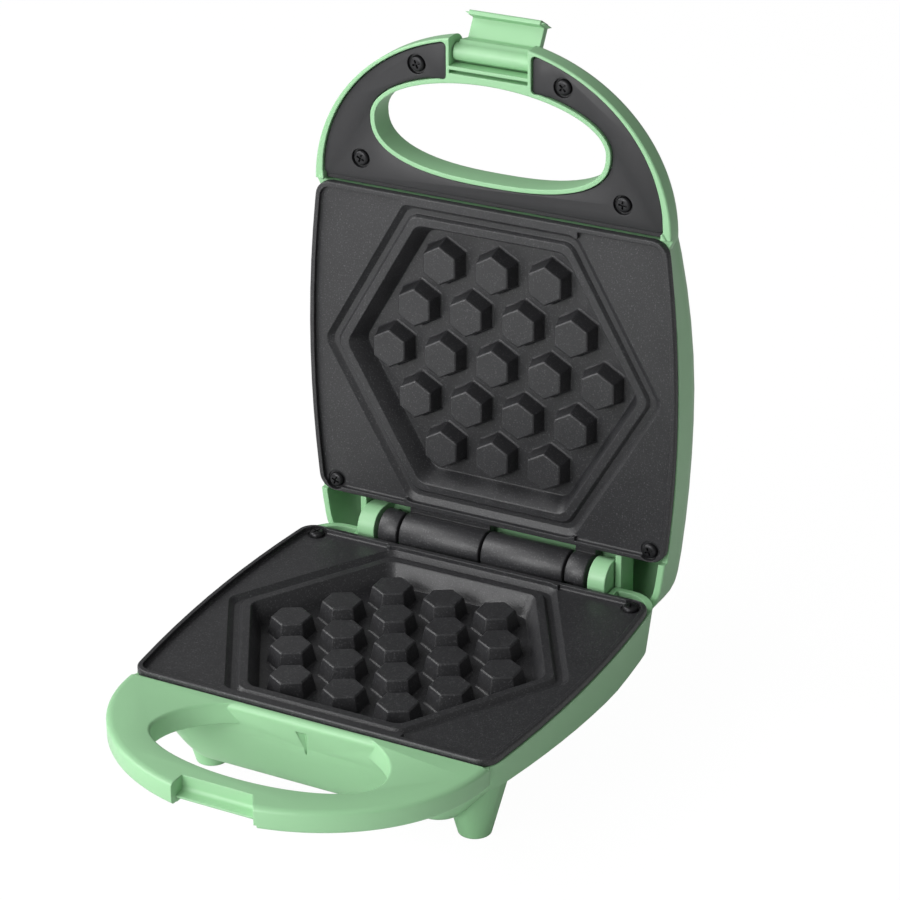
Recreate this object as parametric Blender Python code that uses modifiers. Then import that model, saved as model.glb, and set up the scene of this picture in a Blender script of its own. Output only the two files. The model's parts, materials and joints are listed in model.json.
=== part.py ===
"""Mini waffle maker with its lid open at a right angle: metres, +Z up, front toward -Y.

Every piece is drawn closed, in a frame whose origin is on the hinge axis, in the plane
where the two cooking plates meet. X is to the right, and "ahead" is the distance in
front of the hinge axis, so that a point's Y is minus its ahead. The lid's pieces hang on
an empty on the hinge axis and the latch on one on its pin, and each is turned to rest.
"""

import math

import bmesh
import bpy
from mathutils import Matrix, Vector

OBJECT_NAME = "mini_waffle_maker"

# Gaps and cuts
FIT = 0.0003
OVERRUN = 0.003
FUSE = 0.0005
CASING_WALL = 0.0022

# Joints at rest
LID_OPEN = math.radians(90)
LATCH_OPEN = math.radians(121)

# Cooking plate, seen from above with the hinge behind it
PLATE_REAR = 0.0095
PLATE_FRONT = 0.1274
PLATE_WIDEST = 0.062
PLATE_HALF_WIDTH = 0.0702
PLATE_FRONT_DRAW = 0.0046
PLATE_REAR_DRAW = 0.0030
PLATE_CORNER = 0.006
PLATE_LIP_WIDTH = 0.0018
PLATE_LIP_TALL = 0.0026
PLATE_FLAT = 0.0019
PLATE_SKIRT_INSET = 0.0026
PLATE_SKIRT_CORNER = 0.011
PLATE_WALL = 0.0022
PLATE_BAR_HALF = 0.0335

# Hexagonal pattern: each apothem with the depth that it lies at
PATTERN_CENTRE = 0.0679
PATTERN_CORNER = 0.005
GROOVE_OUTER = 0.0558
GROOVE_FOOT = 0.0542
GROOVE_DEPTH = 0.0034
RIM_FOOT = 0.0524
RIM_OUTER = 0.0516
RIM_INNER = 0.0483
RIM_DEPTH = 0.0020
CAVITY_FLOOR = 0.0457
CAVITY_DEPTH = 0.0095
CAVITY_WALL = 0.0025

# Studs in the cavity
STUD_PITCH = 0.020
STUD_FACE = 0.0070
STUD_FOOT = 0.0086
STUD_TOP = 0.0030
STUD_ROWS = (3, 4, 5, 4, 3)

# Hinge
BARREL_RADIUS = 0.0070
PIN_RADIUS = 0.0020
SEAM = 0.0008
KNUCKLE_LONG = 0.0325
KNUCKLE_END = 0.0405
KNUCKLE_NOTCH_WIDTH = 0.0036
KNUCKLE_NOTCH_BEHIND = 0.0010
KNUCKLE_NOTCH_ABOVE = 0.0042
WEB_THICK = 0.0045
WEB_BELOW = 0.0025
EAR_INNER = 0.0420
EAR_OUTER = 0.0485
HINGE_GAP_HALF = 0.0490
HINGE_GAP_DEPTH = 0.0085

# Lower shell
BASE_TOP = 0.0015
BASE_PROUD = 0.0004
BASE_HALF_WIDTH = PLATE_HALF_WIDTH + BASE_PROUD
BASE_REAR = -0.0004
BASE_FRONT = 0.1310
BASE_CORNER = 0.012
BASE_WALL_FOOT = 0.0200
BASE_SIDE_LEAN = 0.0020
BASE_REAR_LEAN = 0.0010
BASE_FRONT_LEAN = 0.0034
BASE_BELLY = 0.0130
BASE_BELLY_DRAWN = 0.0190
BELLY_SHARE = 0.7
BASE_RISE = 0.0072
BASE_RISE_START = 0.040
BASE_ROLL = 0.0018
FRONT_LEDGE = 0.0054
PLATE_FRONT_GAP = 0.0008

# Feet and their pads
FOOT_BOTTOM = 0.0412
FOOT_TOP = 0.0130
FOOT_RADIUS = 0.0056
FOOT_FLARE = 0.26
FOOT_HALF_SPACING = 0.0497
REAR_FOOT_HALF_SPACING = 0.0450
FOOT_FRONT = 0.106
FOOT_REAR = 0.020
FOOT_FLOOR = 0.0030
FOOT_HOLLOW_TOP = 0.0240
PAD_RADIUS = 0.0036
PAD_THICK = 0.0016
PAD_PROUD = 0.0005

# Handles
HANDLE_CENTRE = 0.127
HANDLE_HALF_WIDTH = 0.066
HANDLE_REACH = 0.0578
HANDLE_RISE_SHARE = 0.029
LID_HANDLE_HALF = 0.0667
LID_HANDLE_REACH = 0.0595
HANDLE_ROOT = 0.118
HANDLE_ROOT_HALF = 0.062
BASE_HANDLE_BOTTOM = 0.0091
BASE_HANDLE_ROUND = 0.0026
BASE_HOLE_HALF = 0.0413
BASE_HOLE_FAR = 0.1700
BASE_HOLE_NEAR = 0.124
BASE_HOLE_WIDEST = 0.152
BASE_HOLE_ROUND = 0.0012

# Notch that the latch hooks under
NOTCH_HALF = 0.0154
NOTCH_RAMP_END = 0.0150
NOTCH_WALL = 0.1766
NOTCH_LIP = 0.1806
NOTCH_SHELF = 0.0051
NOTCH_HOLLOW = 0.0014
NOTCH_RAMP_START = 0.0100
NOTCH_LIP_BOTTOM = 0.0061
NOTCH_DEEP = 0.1785

# Groove down the front wall
VEE_TOP = 0.0055
VEE_BOTTOM = 0.0180
VEE_HALF = 0.0015
VEE_DEEP = 0.0013
VEE_TIP_SHARE = 0.1

# Upper shell, heights above the plane where the plates meet
LID_RIM = 0.0007
LID_SIDE = 0.0120
LID_PROUD = 0.0003
LID_HALF_WIDTH = PLATE_HALF_WIDTH + LID_PROUD
LID_REAR = -0.0150
LID_FRONT = 0.1340
LID_CORNER = 0.016
LID_FRONT_CORNER = 0.011
LID_EDGE = 0.016
LID_FRONT_DRAW = 0.0085
LID_CROWN = 0.0320
CROWN_SHARES = (0, 0.35, 0.7, 1)
CROWN_LEAD_SHARE = 0.06
LID_CROWN_START = 0.017
LID_CROWN_END = 0.052
CORNER_ROOM_SHARE = 0.72
CORNER_CLEAR_SHARE = 1.3
LID_RIM_WALL = 0.0024
LID_RIM_STEP = 0.0055
LID_FRONT_LEDGE = 0.0084
LID_FRONT_GAP_HALF = 0.0632
LID_FRONT_GAP_DEEP = 0.0060

# Lid handle and its cover
LID_HANDLE_FACE = 0.0013
LID_HANDLE_BACK = 0.0120
LID_HANDLE_ROUND = 0.0060
LID_HOLE_HALF = 0.0430
LID_HOLE_FAR = 0.1705
LID_HOLE_NEAR = 0.1368
LID_HOLE_WIDEST = 0.1535
LID_HOLE_FLAT = 2.5
COVER_CENTRE = 0.1296
COVER_HALF_WIDTH = 0.0635
COVER_REACH = 0.0555
COVER_ARM_GAP = 0.0160
COVER_HOLE_GROW = 0.0020
COVER_SUNK = 0.0007
COVER_THICK = 0.0024
COVER_LEDGE = 0.0014
COVER_EDGE_GAP = 0.0004
CHANNEL_TOP = 0.0090
BOSS_RADIUS = 0.0038
TOP_SCREW_SIDE = 0.027
TOP_SCREW_AHEAD = 0.174
END_SCREW_SIDE = 0.049
END_SCREW_AHEAD = 0.1372

# Latch, measured from the axis of its pin
LATCH_AHEAD = 0.1793
LATCH_ABOVE = 0.0063
LATCH_BARREL = 0.0030
LATCH_HALF = 0.0132
LATCH_TOP_SHARE = 0.3
LATCH_HEEL_SHARE = 0.8
LATCH_HEEL_RISE_SHARE = 0.4
LATCH_BARREL_HALF = 0.0141
LATCH_LIP_HALF = 0.0148
LATCH_REACH = 0.0040
LATCH_THICK = 0.0025
LATCH_DROP = 0.0144
LATCH_HOOK_IN = 0.0039
LATCH_HOOK_TALL = 0.0017
LATCH_SHOULDER = 0.0058
LATCH_HEEL_DROP = 0.0039
LATCH_HEEL_BACK = 0.0013
LATCH_CORNER = 0.0007
LATCH_PIN_RADIUS = 0.0010
LATCH_PIN_HALF = 0.0175
POCKET_HALF = 0.0145
POCKET_REAR = 0.1755
POCKET_SLOT_REAR = 0.1730
POCKET_SLOT_FRONT = 0.1743
POCKET_SLOT_DEEP = 0.0050

# Screws
SCREW_HEAD = 0.0028
SCREW_HEAD_TALL = 0.0015
SCREW_CROWN_SHARE = 0.72
SCREW_SHANK = 0.0011
SCREW_LENGTH = 0.0080
COVER_SCREW_LENGTH = 0.0052
SCREW_SLOT_HALF = 0.0015
SCREW_SLOT_WIDE = 0.00035
SCREW_SLOT_DEEP = 0.0008
HEAD_RECESS = 0.0034
HEAD_RECESS_DEEP = 0.0013
PLATE_SCREW_INSET = 0.0088
PLATE_SCREW_SIDE = PLATE_HALF_WIDTH - PLATE_SCREW_INSET
PLATE_SCREW_AHEAD = 0.0134

# Heating under each plate
ELEMENT_RADIUS = 0.0027
ELEMENT_BEND = 0.032
ELEMENT_MOUTH = 0.011
ELEMENT_TAIL = 0.010
SHIELD_POST = 0.0036
SHIELD_POST_SIDE = 0.0150
SHIELD_THICK = 0.0008
SHIELD_HALF = 0.0440
SHIELD_TALL = 0.0040
SHIELD_SCREW_LENGTH = 0.0055
THERMOSTAT_RADIUS = 0.0080
FUSE_RADIUS = 0.0019
FUSE_LENGTH = 0.0140

# Wiring
TERMINAL_HALF = (0.0120, 0.0060, 0.0055)
TERMINAL_AHEAD = 0.0260
GLAND_SIDE = 0.0300
GLAND_BELOW = 0.0185
GLAND_BODY = 0.0040
GLAND_FLANGE = 0.0050
GLAND_ROOM = 0.0010
GLAND_FLANGE_THICK = 0.0020
GLAND_BORE = 0.0031
LEAD_RADIUS = 0.0020
LEAD_SIDE = -0.0200
LEAD_TURN_SHARE = 0.36
LEAD_HANG_SHARE = 0.9
LEAD_BELOW = 0.0134
LEAD_LID_AHEAD = -0.0090
LEAD_INSIDE = 0.0038

# Indicator lights in the lid
LIGHT_SIDE = 0.0080
LIGHT_AHEAD = 0.1040
LENS_RADIUS = 0.0028
LENS_FLANGE = 0.0040
LENS_FLANGE_THICK = 0.0010
LENS_PROUD = 0.0006
LAMP_RADIUS = 0.0024
LAMP_LENGTH = 0.0050

# Fineness of round stretches
CORNER_STEPS = 4
HEXAGON_STEPS = 2
SIDE_POINTS = 4
ROUND_SIDES = 14
SCREW_SIDES = 12
BARREL_SIDES = 24
OVAL_POWER = 2.0
OVAL_STEPS = 12

# Worked-out places
PLATE_UNDERSIDE = CAVITY_DEPTH + CAVITY_WALL
POST_END = PLATE_UNDERSIDE + 2 * (ELEMENT_RADIUS + FIT)
BORE = PIN_RADIUS + FIT
BASE_BOTTOM = BASE_WALL_FOOT + BASE_BELLY
PAD_BOTTOM = FOOT_BOTTOM + PAD_PROUD
FRONT_REACH = HANDLE_CENTRE + LID_HANDLE_REACH
COVER_SCREWS = (
    (-TOP_SCREW_SIDE, TOP_SCREW_AHEAD),
    (TOP_SCREW_SIDE, TOP_SCREW_AHEAD),
    (-END_SCREW_SIDE, END_SCREW_AHEAD),
    (END_SCREW_SIDE, END_SCREW_AHEAD),
)


# Scene and objects

def clear_scene():
    for old in list(bpy.data.objects):
        bpy.data.objects.remove(old, do_unlink=True)


def new_collection(name):
    collection = bpy.data.collections.new(name)
    bpy.context.scene.collection.children.link(collection)
    return collection


def new_empty(name, parent, place, turn):
    empty = bpy.data.objects.new(name, None)
    PIECES.objects.link(empty)
    empty.parent = parent
    empty.location = place
    empty.rotation_euler = (turn, 0, 0)
    return empty


def finish(name, colour, roughness, metallic=0.0):
    material = bpy.data.materials.new(name)
    material.use_nodes = True
    shader = material.node_tree.nodes["Principled BSDF"]
    shader.inputs["Base Color"].default_value = (*colour, 1)
    shader.inputs["Roughness"].default_value = roughness
    shader.inputs["Metallic"].default_value = metallic
    return material


def smooth(mesh):
    mesh.shade_smooth()
    mesh.set_sharp_from_angle(angle=math.radians(35))


def piece(name, bm, material, parent, turn=(0, 0, 0)):
    mesh = bpy.data.meshes.new(name)
    bm.to_mesh(mesh)
    bm.free()
    smooth(mesh)
    mesh.materials.append(material)
    made = bpy.data.objects.new(name, mesh)
    PIECES.objects.link(made)
    made.parent = parent
    made.location = start_of(parent)
    made.rotation_euler = turn
    return made


def start_of(parent):
    """Pieces of the base have no parent, so they are placed from the hinge themselves."""
    return Vector((0, 0, 0)) if parent else HINGE_PLACE


def helper(target, bm):
    """A hidden object in the target's own frame, for cutting it or joining to it."""
    mesh = bpy.data.meshes.new(target.name + "_tool")
    bm.to_mesh(mesh)
    bm.free()
    made = bpy.data.objects.new(mesh.name, mesh)
    CUTTERS.objects.link(made)
    made.parent = target.parent
    made.location = target.location
    made.rotation_euler = target.rotation_euler
    made.hide_render = True
    made.display_type = "WIRE"
    return made


def boolean(target, tool, operation):
    modifier = target.modifiers.new(operation.lower(), "BOOLEAN")
    modifier.solver = "EXACT"
    modifier.operation = operation
    modifier.object = tool


def cut(target, bm):
    boolean(target, helper(target, bm), "DIFFERENCE")


def join(target, bm):
    boolean(target, helper(target, bm), "UNION")


# Outlines: lists of (x, ahead)

def rounded(corners, steps=CORNER_STEPS):
    """The outline of a polygon, from corners of (x, ahead, radius)."""
    outline = []
    for index, (x, ahead, radius) in enumerate(corners):
        corner = Vector((x, ahead))
        if radius <= 0:
            outline.append(tuple(corner))
            continue
        back = (Vector(corners[index - 1][:2]) - corner).normalized()
        forth = (Vector(corners[(index + 1) % len(corners)][:2]) - corner).normalized()
        half = back.angle(forth) / 2
        centre = corner + (back + forth).normalized() * (radius / math.sin(half))
        first = corner + back * (radius / math.tan(half)) - centre
        last = corner + forth * (radius / math.tan(half)) - centre
        start = math.atan2(first.y, first.x)
        sweep = (math.atan2(last.y, last.x) - start + math.pi) % (2 * math.pi) - math.pi
        for step in range(steps + 1):
            angle = start + sweep * step / steps
            outline.append(tuple(centre + Vector((math.cos(angle), math.sin(angle))) * radius))
    return outline


def bowed(half_width, rear, front, rear_corner, front_corner, draw=PLATE_FRONT_DRAW):
    """A four-sided outline whose two long sides bow outward as the plate's do."""
    def reach(ahead):
        if ahead > PLATE_WIDEST:
            share = (ahead - PLATE_WIDEST) / (PLATE_FRONT - PLATE_WIDEST)
            return half_width - draw * share * share
        share = (PLATE_WIDEST - ahead) / (PLATE_WIDEST - PLATE_REAR)
        return half_width - PLATE_REAR_DRAW * share * share

    right = [(reach(rear), rear, rear_corner)]
    straight_rear = rear + CORNER_CLEAR_SHARE * rear_corner
    straight_front = front - CORNER_CLEAR_SHARE * front_corner
    for step in range(SIDE_POINTS):
        ahead = straight_rear + (straight_front - straight_rear) * step / (SIDE_POINTS - 1)
        right.append((reach(ahead), ahead, 0))
    right.append((reach(front), front, front_corner))
    left = [(-x, ahead, radius) for x, ahead, radius in reversed(right)]
    return rounded(right + left)


def plate_outline(inset):
    return bowed(
        PLATE_HALF_WIDTH - inset,
        PLATE_REAR + inset,
        PLATE_FRONT - inset,
        PLATE_CORNER - inset,
        PLATE_CORNER - inset,
    )


def hexagon(apothem, corner):
    """A hexagon round the pattern's centre, with vertices to the left and right."""
    radius = apothem / math.cos(math.radians(30))
    corners = []
    for side in range(6):
        angle = math.radians(60 * side)
        corners.append((radius * math.cos(angle), PATTERN_CENTRE + radius * math.sin(angle), corner))
    return rounded(corners, HEXAGON_STEPS)


def rectangle(left, right, near, far):
    return [(left, near), (right, near), (right, far), (left, far)]


def oval(half_width, near, far, widest, flat=OVAL_POWER, steps=2 * OVAL_STEPS):
    """A handle's opening: a half ellipse on the far side, a flatter one on the near side."""
    outline = []
    for step in range(steps):
        angle = 2 * math.pi * step / steps
        across = math.cos(angle)
        along = math.sin(angle)
        power = OVAL_POWER / flat if along < 0 else 1
        x = half_width * math.copysign(abs(across) ** power, across)
        reach = far - widest if along > 0 else widest - near
        outline.append((x, widest + reach * math.copysign(abs(along) ** power, along)))
    return outline


def handle_outline(inset, half_width=HANDLE_HALF_WIDTH, far=HANDLE_REACH):
    """The loop handle's outer edge, with its root inside the shell."""
    outline = [(HANDLE_ROOT_HALF, HANDLE_ROOT)]
    for step in range(2 * OVAL_STEPS + 1):
        angle = math.pi * step / (2 * OVAL_STEPS)
        x = (half_width - inset) * math.cos(angle)
        outline.append((x, HANDLE_CENTRE + (far - inset) * math.sin(angle)))
    outline.append((-HANDLE_ROOT_HALF, HANDLE_ROOT))
    return outline


def notched_reach():
    """How far ahead the base handle reaches beside its notch."""
    outline = handle_outline(0)
    for (x, ahead), (next_x, next_ahead) in zip(outline[1:], outline[2:]):
        if next_x <= -NOTCH_HALF <= x:
            return ahead + (next_ahead - ahead) * (x + NOTCH_HALF) / (x - next_x)
    return FRONT_REACH


def cover_outline(grow):
    """The horseshoe of the handle's cover, grown all round by one distance."""
    half_width = COVER_HALF_WIDTH + grow
    reach = COVER_REACH + grow
    arm = COVER_ARM_GAP - grow
    hole = oval(
        LID_HOLE_HALF + COVER_HOLE_GROW - grow,
        LID_HOLE_NEAR - COVER_HOLE_GROW + grow,
        LID_HOLE_FAR + COVER_HOLE_GROW - grow,
        LID_HOLE_WIDEST,
        LID_HOLE_FLAT,
    )
    start = math.acos(arm / half_width)
    right = [(half_width, COVER_CENTRE - grow)]
    for step in range(1, OVAL_STEPS + 1):
        angle = start * step / OVAL_STEPS
        right.append((half_width * math.cos(angle), COVER_CENTRE + reach * math.sin(angle)))
    left = [(-x, ahead) for x, ahead in reversed(right)]
    inner = sorted(
        [point for point in hole if not (abs(point[0]) < arm and point[1] > LID_HOLE_WIDEST)],
        key=lambda point: math.atan2(point[0], LID_HOLE_WIDEST - point[1]),
        reverse=True,
    )
    far = max(ahead for x, ahead in inner)
    return right + [(arm, far)] + inner + [(-arm, far)] + left


# The hinge stands where the object's origin comes under its middle

HINGE_PLACE = Vector((0, (notched_reach() - LID_CROWN) / 2, PAD_BOTTOM))


# Solids

def place(outline, z):
    return [Vector((x, -ahead, z)) for x, ahead in outline]


def loft(rings):
    """A closed body through rings of equally many points, flat at both ends."""
    bm = bmesh.new()
    rows = [[bm.verts.new(point) for point in ring] for ring in rings]
    for lower, upper in zip(rows, rows[1:]):
        for index, corner in enumerate(lower):
            after = (index + 1) % len(lower)
            bm.faces.new((corner, lower[after], upper[after], upper[index]))
    bm.faces.new(rows[0])
    bm.faces.new(rows[-1])
    bmesh.ops.triangulate(bm, faces=bm.faces)
    bmesh.ops.recalc_face_normals(bm, faces=bm.faces)
    return bm


def slab(outline, low, high):
    """A flat outline, raised from one height to another."""
    bm = bmesh.new()
    face = bm.faces.new([bm.verts.new(point) for point in place(outline, low)])
    raised = bmesh.ops.extrude_face_region(bm, geom=[face])
    points = [item for item in raised["geom"] if isinstance(item, bmesh.types.BMVert)]
    bmesh.ops.translate(bm, vec=(0, 0, high - low), verts=points)
    bmesh.ops.recalc_face_normals(bm, faces=bm.faces)
    return bm


def block(left, right, near, far, low, high):
    return slab(rectangle(left, right, near, far), low, high)


def upright(x, ahead, radius, low, high, sides=ROUND_SIDES, high_radius=None):
    """A cylinder or cone that stands along Z."""
    bm = bmesh.new()
    turned = Matrix.Translation((x, -ahead, (low + high) / 2))
    bmesh.ops.create_cone(
        bm,
        cap_ends=True,
        segments=sides,
        radius1=radius,
        radius2=radius if high_radius is None else high_radius,
        depth=high - low,
        matrix=turned,
    )
    return bm


def crosswise(left, right, ahead, z, radius, sides=ROUND_SIDES):
    """A cylinder that lies along X."""
    bm = bmesh.new()
    turned = Matrix.Translation(((left + right) / 2, -ahead, z)) @ Matrix.Rotation(math.pi / 2, 4, "Y")
    bmesh.ops.create_cone(
        bm,
        cap_ends=True,
        segments=sides,
        radius1=radius,
        radius2=radius,
        depth=right - left,
        matrix=turned,
    )
    return bm


def lengthwise(x, near, far, z, radius, sides=ROUND_SIDES):
    """A cylinder that lies along Y."""
    bm = bmesh.new()
    turned = Matrix.Translation((x, -(near + far) / 2, z)) @ Matrix.Rotation(math.pi / 2, 4, "X")
    bmesh.ops.create_cone(
        bm,
        cap_ends=True,
        segments=sides,
        radius1=radius,
        radius2=radius,
        depth=far - near,
        matrix=turned,
    )
    return bm


def profile_across(section, left, right):
    """A section of (behind, z) points, drawn out along X."""
    bm = bmesh.new()
    face = bm.faces.new([bm.verts.new((left, y, z)) for y, z in section])
    raised = bmesh.ops.extrude_face_region(bm, geom=[face])
    points = [item for item in raised["geom"] if isinstance(item, bmesh.types.BMVert)]
    bmesh.ops.translate(bm, vec=(right - left, 0, 0), verts=points)
    bmesh.ops.recalc_face_normals(bm, faces=bm.faces)
    return bm


def flipped(bm):
    """The same solid upside down, for the lid."""
    bmesh.ops.transform(bm, matrix=Matrix.Diagonal((1, 1, -1, 1)), verts=bm.verts)
    bmesh.ops.reverse_faces(bm, faces=bm.faces)
    return bm


# Cooking plates

def plate(name, parent, turn):
    """One casting serves both halves: the upper one is the lower one turned over."""
    made = piece(name, slab(plate_outline(0), -PLATE_LIP_TALL, -FIT / 2), COATING, parent, turn)
    skirt_foot = -PLATE_FLAT - PLATE_WALL
    inset = PLATE_SKIRT_INSET
    skirt = bowed(PLATE_HALF_WIDTH - inset, PLATE_REAR + inset, PLATE_FRONT - inset, PLATE_CORNER,
                  PLATE_SKIRT_CORNER)
    join(made, slab(skirt, skirt_foot, -PLATE_LIP_TALL + FUSE))
    cut(made, slab(plate_outline(PLATE_LIP_WIDTH), -PLATE_FLAT, OVERRUN))
    wide = PLATE_BAR_HALF
    top = -FIT / 2
    for near, far in (
        (PLATE_FRONT - PLATE_LIP_WIDTH - FUSE, PLATE_FRONT - FUSE),
        (PLATE_REAR + FUSE, PLATE_REAR + PLATE_LIP_WIDTH + FUSE),
    ):
        inward_near = min(near, PATTERN_CENTRE + GROOVE_OUTER - FUSE) if near > PATTERN_CENTRE else near
        inward_far = far if near > PATTERN_CENTRE else max(far, PATTERN_CENTRE - GROOVE_OUTER + FUSE)
        join(made, block(-wide, wide, inward_near, inward_far, -PLATE_FLAT - FUSE, top))
    tub_rim = GROOVE_OUTER + CAVITY_WALL / 2
    tub = GROOVE_DEPTH + PLATE_WALL
    join(made, loft([
        place(hexagon(tub_rim, PATTERN_CORNER), -PLATE_FLAT - FUSE),
        place(hexagon(tub_rim, PATTERN_CORNER), -tub),
        place(hexagon(RIM_INNER + CAVITY_WALL, PATTERN_CORNER), -tub),
        place(hexagon(CAVITY_FLOOR + CAVITY_WALL, PATTERN_CORNER), -PLATE_UNDERSIDE),
    ]))
    webs = -WEB_BELOW - WEB_THICK
    for left, right in knuckles():
        join(made, block(left, right, FUSE, PLATE_REAR + PLATE_SKIRT_INSET + CAVITY_WALL, webs, -WEB_BELOW))
    cut(made, loft([
        place(hexagon(GROOVE_OUTER, PATTERN_CORNER), OVERRUN),
        place(hexagon(GROOVE_OUTER, PATTERN_CORNER), -PLATE_FLAT),
        place(hexagon(GROOVE_FOOT, PATTERN_CORNER), -GROOVE_DEPTH),
    ]))
    join(made, loft([
        place(hexagon(RIM_FOOT, PATTERN_CORNER), -GROOVE_DEPTH - FUSE),
        place(hexagon(RIM_FOOT, PATTERN_CORNER), -GROOVE_DEPTH),
        place(hexagon(RIM_OUTER, PATTERN_CORNER), -RIM_DEPTH),
    ]))
    slope = (RIM_INNER - CAVITY_FLOOR) / (CAVITY_DEPTH - RIM_DEPTH)
    cut(made, loft([
        place(hexagon(RIM_INNER + slope * OVERRUN, PATTERN_CORNER), -RIM_DEPTH + OVERRUN),
        place(hexagon(CAVITY_FLOOR, PATTERN_CORNER), -CAVITY_DEPTH),
    ]))
    for x, ahead in stud_places():
        join(made, stud(x, ahead))
    add_knuckles(made)
    for side in (-1, 1):
        screw_x = side * PLATE_SCREW_SIDE
        cut(made, upright(screw_x, PLATE_SCREW_AHEAD, SCREW_HEAD + FIT, -PLATE_FLAT - FIT, OVERRUN))
        cut(made, upright(screw_x, PLATE_SCREW_AHEAD, SCREW_SHANK + FIT, skirt_foot - OVERRUN, OVERRUN))
        post_x = side * SHIELD_POST_SIDE
        join(made, upright(post_x, PATTERN_CENTRE, SHIELD_POST, -POST_END, -PLATE_UNDERSIDE + FUSE))
        cut(made, upright(post_x, PATTERN_CENTRE, SCREW_SHANK + FIT, -POST_END - OVERRUN, -PLATE_UNDERSIDE))
    return made


def stud_places():
    row_gap = STUD_PITCH * math.sin(math.radians(60))
    places = []
    for row, count in enumerate(STUD_ROWS):
        ahead = PATTERN_CENTRE + (row - (len(STUD_ROWS) - 1) / 2) * row_gap
        for column in range(count):
            places.append(((column - (count - 1) / 2) * STUD_PITCH, ahead))
    return places


def stud(x, ahead):
    """A six-sided stud with a point toward the front."""
    def ring(radius, z):
        angles = [math.radians(30 + 60 * side) for side in range(6)]
        outline = [(x + radius * math.cos(angle), ahead + radius * math.sin(angle)) for angle in angles]
        return place(outline, z)
    return loft([ring(STUD_FOOT, -CAVITY_DEPTH - FUSE), ring(STUD_FACE, -STUD_TOP)])


def knuckles():
    """The lower plate's long knuckle lies right of the middle and its short one at the left end."""
    half = SEAM / 2
    return (half, KNUCKLE_LONG - half), (-KNUCKLE_END, -KNUCKLE_LONG - half)


def add_knuckles(made):
    for left, right in knuckles():
        join(made, crosswise(left, right, 0, 0, BARREL_RADIUS, BARREL_SIDES))
    short_end = knuckles()[1][1]
    cut(made, block(short_end - KNUCKLE_NOTCH_WIDTH, short_end + OVERRUN, -BARREL_RADIUS - OVERRUN,
                    -KNUCKLE_NOTCH_BEHIND, KNUCKLE_NOTCH_ABOVE, BARREL_RADIUS + OVERRUN))
    cut(made, crosswise(-KNUCKLE_END - OVERRUN, KNUCKLE_LONG + OVERRUN, 0, 0, BORE))


# Lower shell

def base_rings(wall, top):
    """The lower shell's outer or inner surface, from its rim down."""
    ledge = FRONT_LEDGE if wall else 0
    roll = 0 if wall else BASE_ROLL
    rings = [
        base_ring(top, wall, max(roll, ledge), wall),
        base_ring(-BASE_TOP - BASE_ROLL, wall, ledge, wall),
    ]
    belly = BASE_BELLY - wall
    for step in range(CORNER_STEPS + 2):
        down = math.sin(math.pi / 2 * step / (CORNER_STEPS + 1))
        drawn = belly * (1 - math.sqrt(1 - down * down)) + wall
        rings.append(base_ring(
            -BASE_WALL_FOOT - belly * down,
            BASE_SIDE_LEAN + BASE_BELLY_DRAWN * down ** BELLY_SHARE + wall,
            BASE_FRONT_LEAN + drawn,
            BASE_REAR_LEAN + drawn,
            BASE_RISE * (1 - down) ** 2,
        ))
    return rings


def base_ring(z, side, front, rear, rise=0):
    """A level of the lower shell. The foot of its wall rises toward the front."""
    corner = BASE_CORNER - rear / 2
    outline = bowed(BASE_HALF_WIDTH - side, BASE_REAR + rear, BASE_FRONT - front, corner, corner)
    ring = place(outline, z)
    for point in ring:
        share = (-point.y - BASE_RISE_START) / (PLATE_FRONT - BASE_RISE_START)
        point.z += rise * min(max(share, 0), 1)
    return ring


def foot_places():
    for ahead, half in ((FOOT_FRONT, FOOT_HALF_SPACING), (FOOT_REAR, REAR_FOOT_HALF_SPACING)):
        for side in (-1, 1):
            yield side * half, ahead


def sloped(bm):
    """The base's handle rises a little on its way forward."""
    lift = Matrix.Identity(4)
    lift[2][1] = -HANDLE_RISE_SHARE
    lift[2][3] = -HANDLE_RISE_SHARE * PLATE_FRONT
    bmesh.ops.transform(bm, matrix=lift, verts=bm.verts)
    return bm


def base_handle(made):
    """The loop handle, with the hand's opening through it."""
    bottom = -BASE_HANDLE_BOTTOM
    rounds = BASE_HANDLE_ROUND
    handle = helper(made, sloped(loft([
        place(handle_outline(rounds / 2), bottom),
        place(handle_outline(0), bottom + rounds / 2),
        place(handle_outline(0), -BASE_TOP - rounds / 2),
        place(handle_outline(rounds / 3), -BASE_TOP - rounds / 6),
        place(handle_outline(rounds), -BASE_TOP),
    ])))
    soft = BASE_HOLE_ROUND

    def opening(grow, z):
        return place(oval(BASE_HOLE_HALF + grow, BASE_HOLE_NEAR, BASE_HOLE_FAR + grow, BASE_HOLE_WIDEST), z)

    cut(handle, sloped(loft([
        opening(0, bottom - OVERRUN),
        opening(0, -BASE_TOP - soft),
        opening(2 * soft, -BASE_TOP + soft),
    ])))
    boolean(made, handle, "UNION")


def hinge_wall(side):
    """The block that closes the shell under the barrel. The barrel's gap is cut from it later."""
    low = -HINGE_GAP_DEPTH - CASING_WALL
    return block(-side, side, LID_REAR - OVERRUN, PATTERN_CENTRE - GROOVE_OUTER - FIT - CASING_WALL,
                 low, OVERRUN)


def ear(left, right):
    """A round-ended ear on the hinge axis, standing on the floor of the barrel's gap."""
    steps = 2 * CORNER_STEPS
    section = []
    for step in range(steps + 1):
        angle = math.pi * step / steps
        section.append((BARREL_RADIUS * math.cos(angle), BARREL_RADIUS * math.sin(angle)))
    foot = -HINGE_GAP_DEPTH - FUSE
    section += [(-BARREL_RADIUS, foot), (BARREL_RADIUS, foot)]
    return profile_across(section, left, right)


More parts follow.
